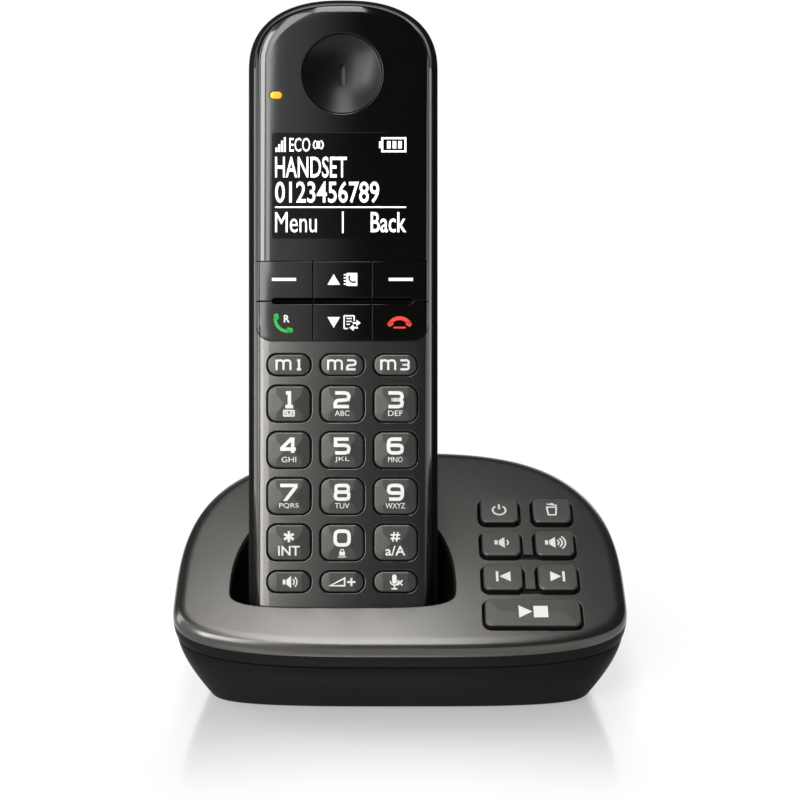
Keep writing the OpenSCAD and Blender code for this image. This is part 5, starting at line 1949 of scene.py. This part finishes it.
def studio_floor():
    """A pale floor that shows white, keeps the shadow and mirrors the foot of the object."""
    mesh = bpy.data.meshes.new("floor")
    sheet = bmesh.new()
    bmesh.ops.create_circle(sheet, cap_ends=True, segments=96, radius=FLOOR_R)
    sheet.to_mesh(mesh)
    sheet.free()
    floor = new_object("studio_floor", mesh)
    material = bpy.data.materials.new("studio_floor")
    material.use_nodes = True
    tree = material.node_tree
    tree.nodes.clear()
    place = tree.nodes.new("ShaderNodeTexCoord").outputs["Object"]
    split = tree.nodes.new("ShaderNodeSeparateXYZ")
    tree.links.new(place, split.inputs[0])
    reach = tree.nodes.new("ShaderNodeVectorMath")
    reach.operation = "LENGTH"
    tree.links.new(place, reach.inputs[0])
    path = tree.nodes.new("ShaderNodeLightPath").outputs
    seen = sum_of(tree, "MAXIMUM", path["Is Camera Ray"], path["Is Glossy Ray"])
    seen = sum_of(tree, "MAXIMUM", seen, path["Is Transmission Ray"])
    share = eased(tree, reach.outputs["Value"], *FLOOR_NEAR, *FLOOR_SEEN)
    matt = tree.nodes.new("ShaderNodeBsdfDiffuse")
    matt.inputs["Color"].default_value = (FLOOR_TONE, FLOOR_TONE, FLOOR_TONE, 1.0)
    glow = tree.nodes.new("ShaderNodeEmission")
    glow.inputs["Strength"].default_value = 1.0
    gloss = tree.nodes.new("ShaderNodeBsdfGlossy")
    gloss.inputs["Roughness"].default_value = FLOOR_ROUGH
    lit = tree.nodes.new("ShaderNodeMixShader")
    tree.links.new(sum_of(tree, "MULTIPLY", seen, share), lit.inputs[0])
    tree.links.new(matt.outputs[0], lit.inputs[1])
    tree.links.new(glow.outputs[0], lit.inputs[2])
    mirror = tree.nodes.new("ShaderNodeMixShader")
    faded = eased(tree, split.outputs[1], *MIRROR_FADE, 0.0, MIRROR)
    faded = sum_of(tree, "MULTIPLY", faded, eased(tree, split.outputs[1], *MIRROR_BACK, 1.0, 0.0))
    aside = sum_of(tree, "ABSOLUTE", split.outputs[0])
    close = eased(tree, aside, *MIRROR_SIDE, 1.0, 0.0)
    tree.links.new(sum_of(tree, "MULTIPLY", faded, close), mirror.inputs[0])
    tree.links.new(lit.outputs[0], mirror.inputs[1])
    tree.links.new(gloss.outputs[0], mirror.inputs[2])
    tree.links.new(mirror.outputs[0], tree.nodes.new("ShaderNodeOutputMaterial").inputs[0])
    dress(floor, material)


def studio_world():
    """A white backdrop behind the object, a bright wall to the front left and a dark room else."""
    world = bpy.data.worlds.new("studio")
    scene.world = world
    world.use_nodes = True
    tree = world.node_tree
    tree.nodes.clear()
    split = tree.nodes.new("ShaderNodeSeparateXYZ")
    tree.links.new(tree.nodes.new("ShaderNodeTexCoord").outputs["Generated"], split.inputs[0])
    across, along, rise = split.outputs
    left = sum_of(tree, "MULTIPLY", across, -1.0)
    depth = sum_of(tree, "MAXIMUM", sum_of(tree, "ABSOLUTE", along), LEAST_DEPTH)
    wall = eased(tree, sum_of(tree, "DIVIDE", left, depth), *SHEEN, ROOM_DARK, 1.0)
    side = sum_of(tree, "DIVIDE", sum_of(tree, "ABSOLUTE", across), depth)
    middle = eased(tree, side, *BACKDROP, 1.0, BACKDROP_SIDE_LEVEL)
    low = eased(tree, rise, *BACKDROP_TOP, 1.0, BACKDROP_TOP_LEVEL)
    backdrop = sum_of(tree, "MULTIPLY", middle, low)
    behind = eased(tree, along, *BEHIND, 0.0, 1.0)
    level = choose(tree, behind, wall, backdrop)
    room = tree.nodes.new("ShaderNodeBackground")
    tree.links.new(level, room.inputs["Strength"])
    room.inputs["Color"].default_value = (1.0, 1.0, 1.0, 1.0)
    tree.links.new(room.outputs[0], tree.nodes.new("ShaderNodeOutputWorld").inputs[0])


def softbox(name, place, target, width, height, glow):
    """A soft lamp that faces a target, of a size and an even brightness."""
    lamp = bpy.data.lights.new(name, "AREA")
    lamp.shape = "RECTANGLE"
    lamp.size = width
    lamp.size_y = height
    lamp.energy = glow * math.pi * width * height
    holder = bpy.data.objects.new(name, lamp)
    scene.collection.objects.link(holder)
    holder.location = place
    holder.rotation_euler = (Vector(target) - Vector(place)).to_track_quat("-Z", "Y").to_euler()


def studio():
    """Camera, floor, room and lamps."""
    lens = bpy.data.cameras.new("camera")
    lens.lens = LENS
    camera = bpy.data.objects.new("camera", lens)
    scene.collection.objects.link(camera)
    camera.location = (0.0, (LID_Y - CAMERA_BACK) * MM, CAMERA_HIGH * MM)
    camera.rotation_euler = (math.radians(90 - CAMERA_DOWN), 0.0, 0.0)
    scene.camera = camera
    studio_floor()
    studio_world()
    for lamp in LAMPS:
        softbox(*lamp)


studio()
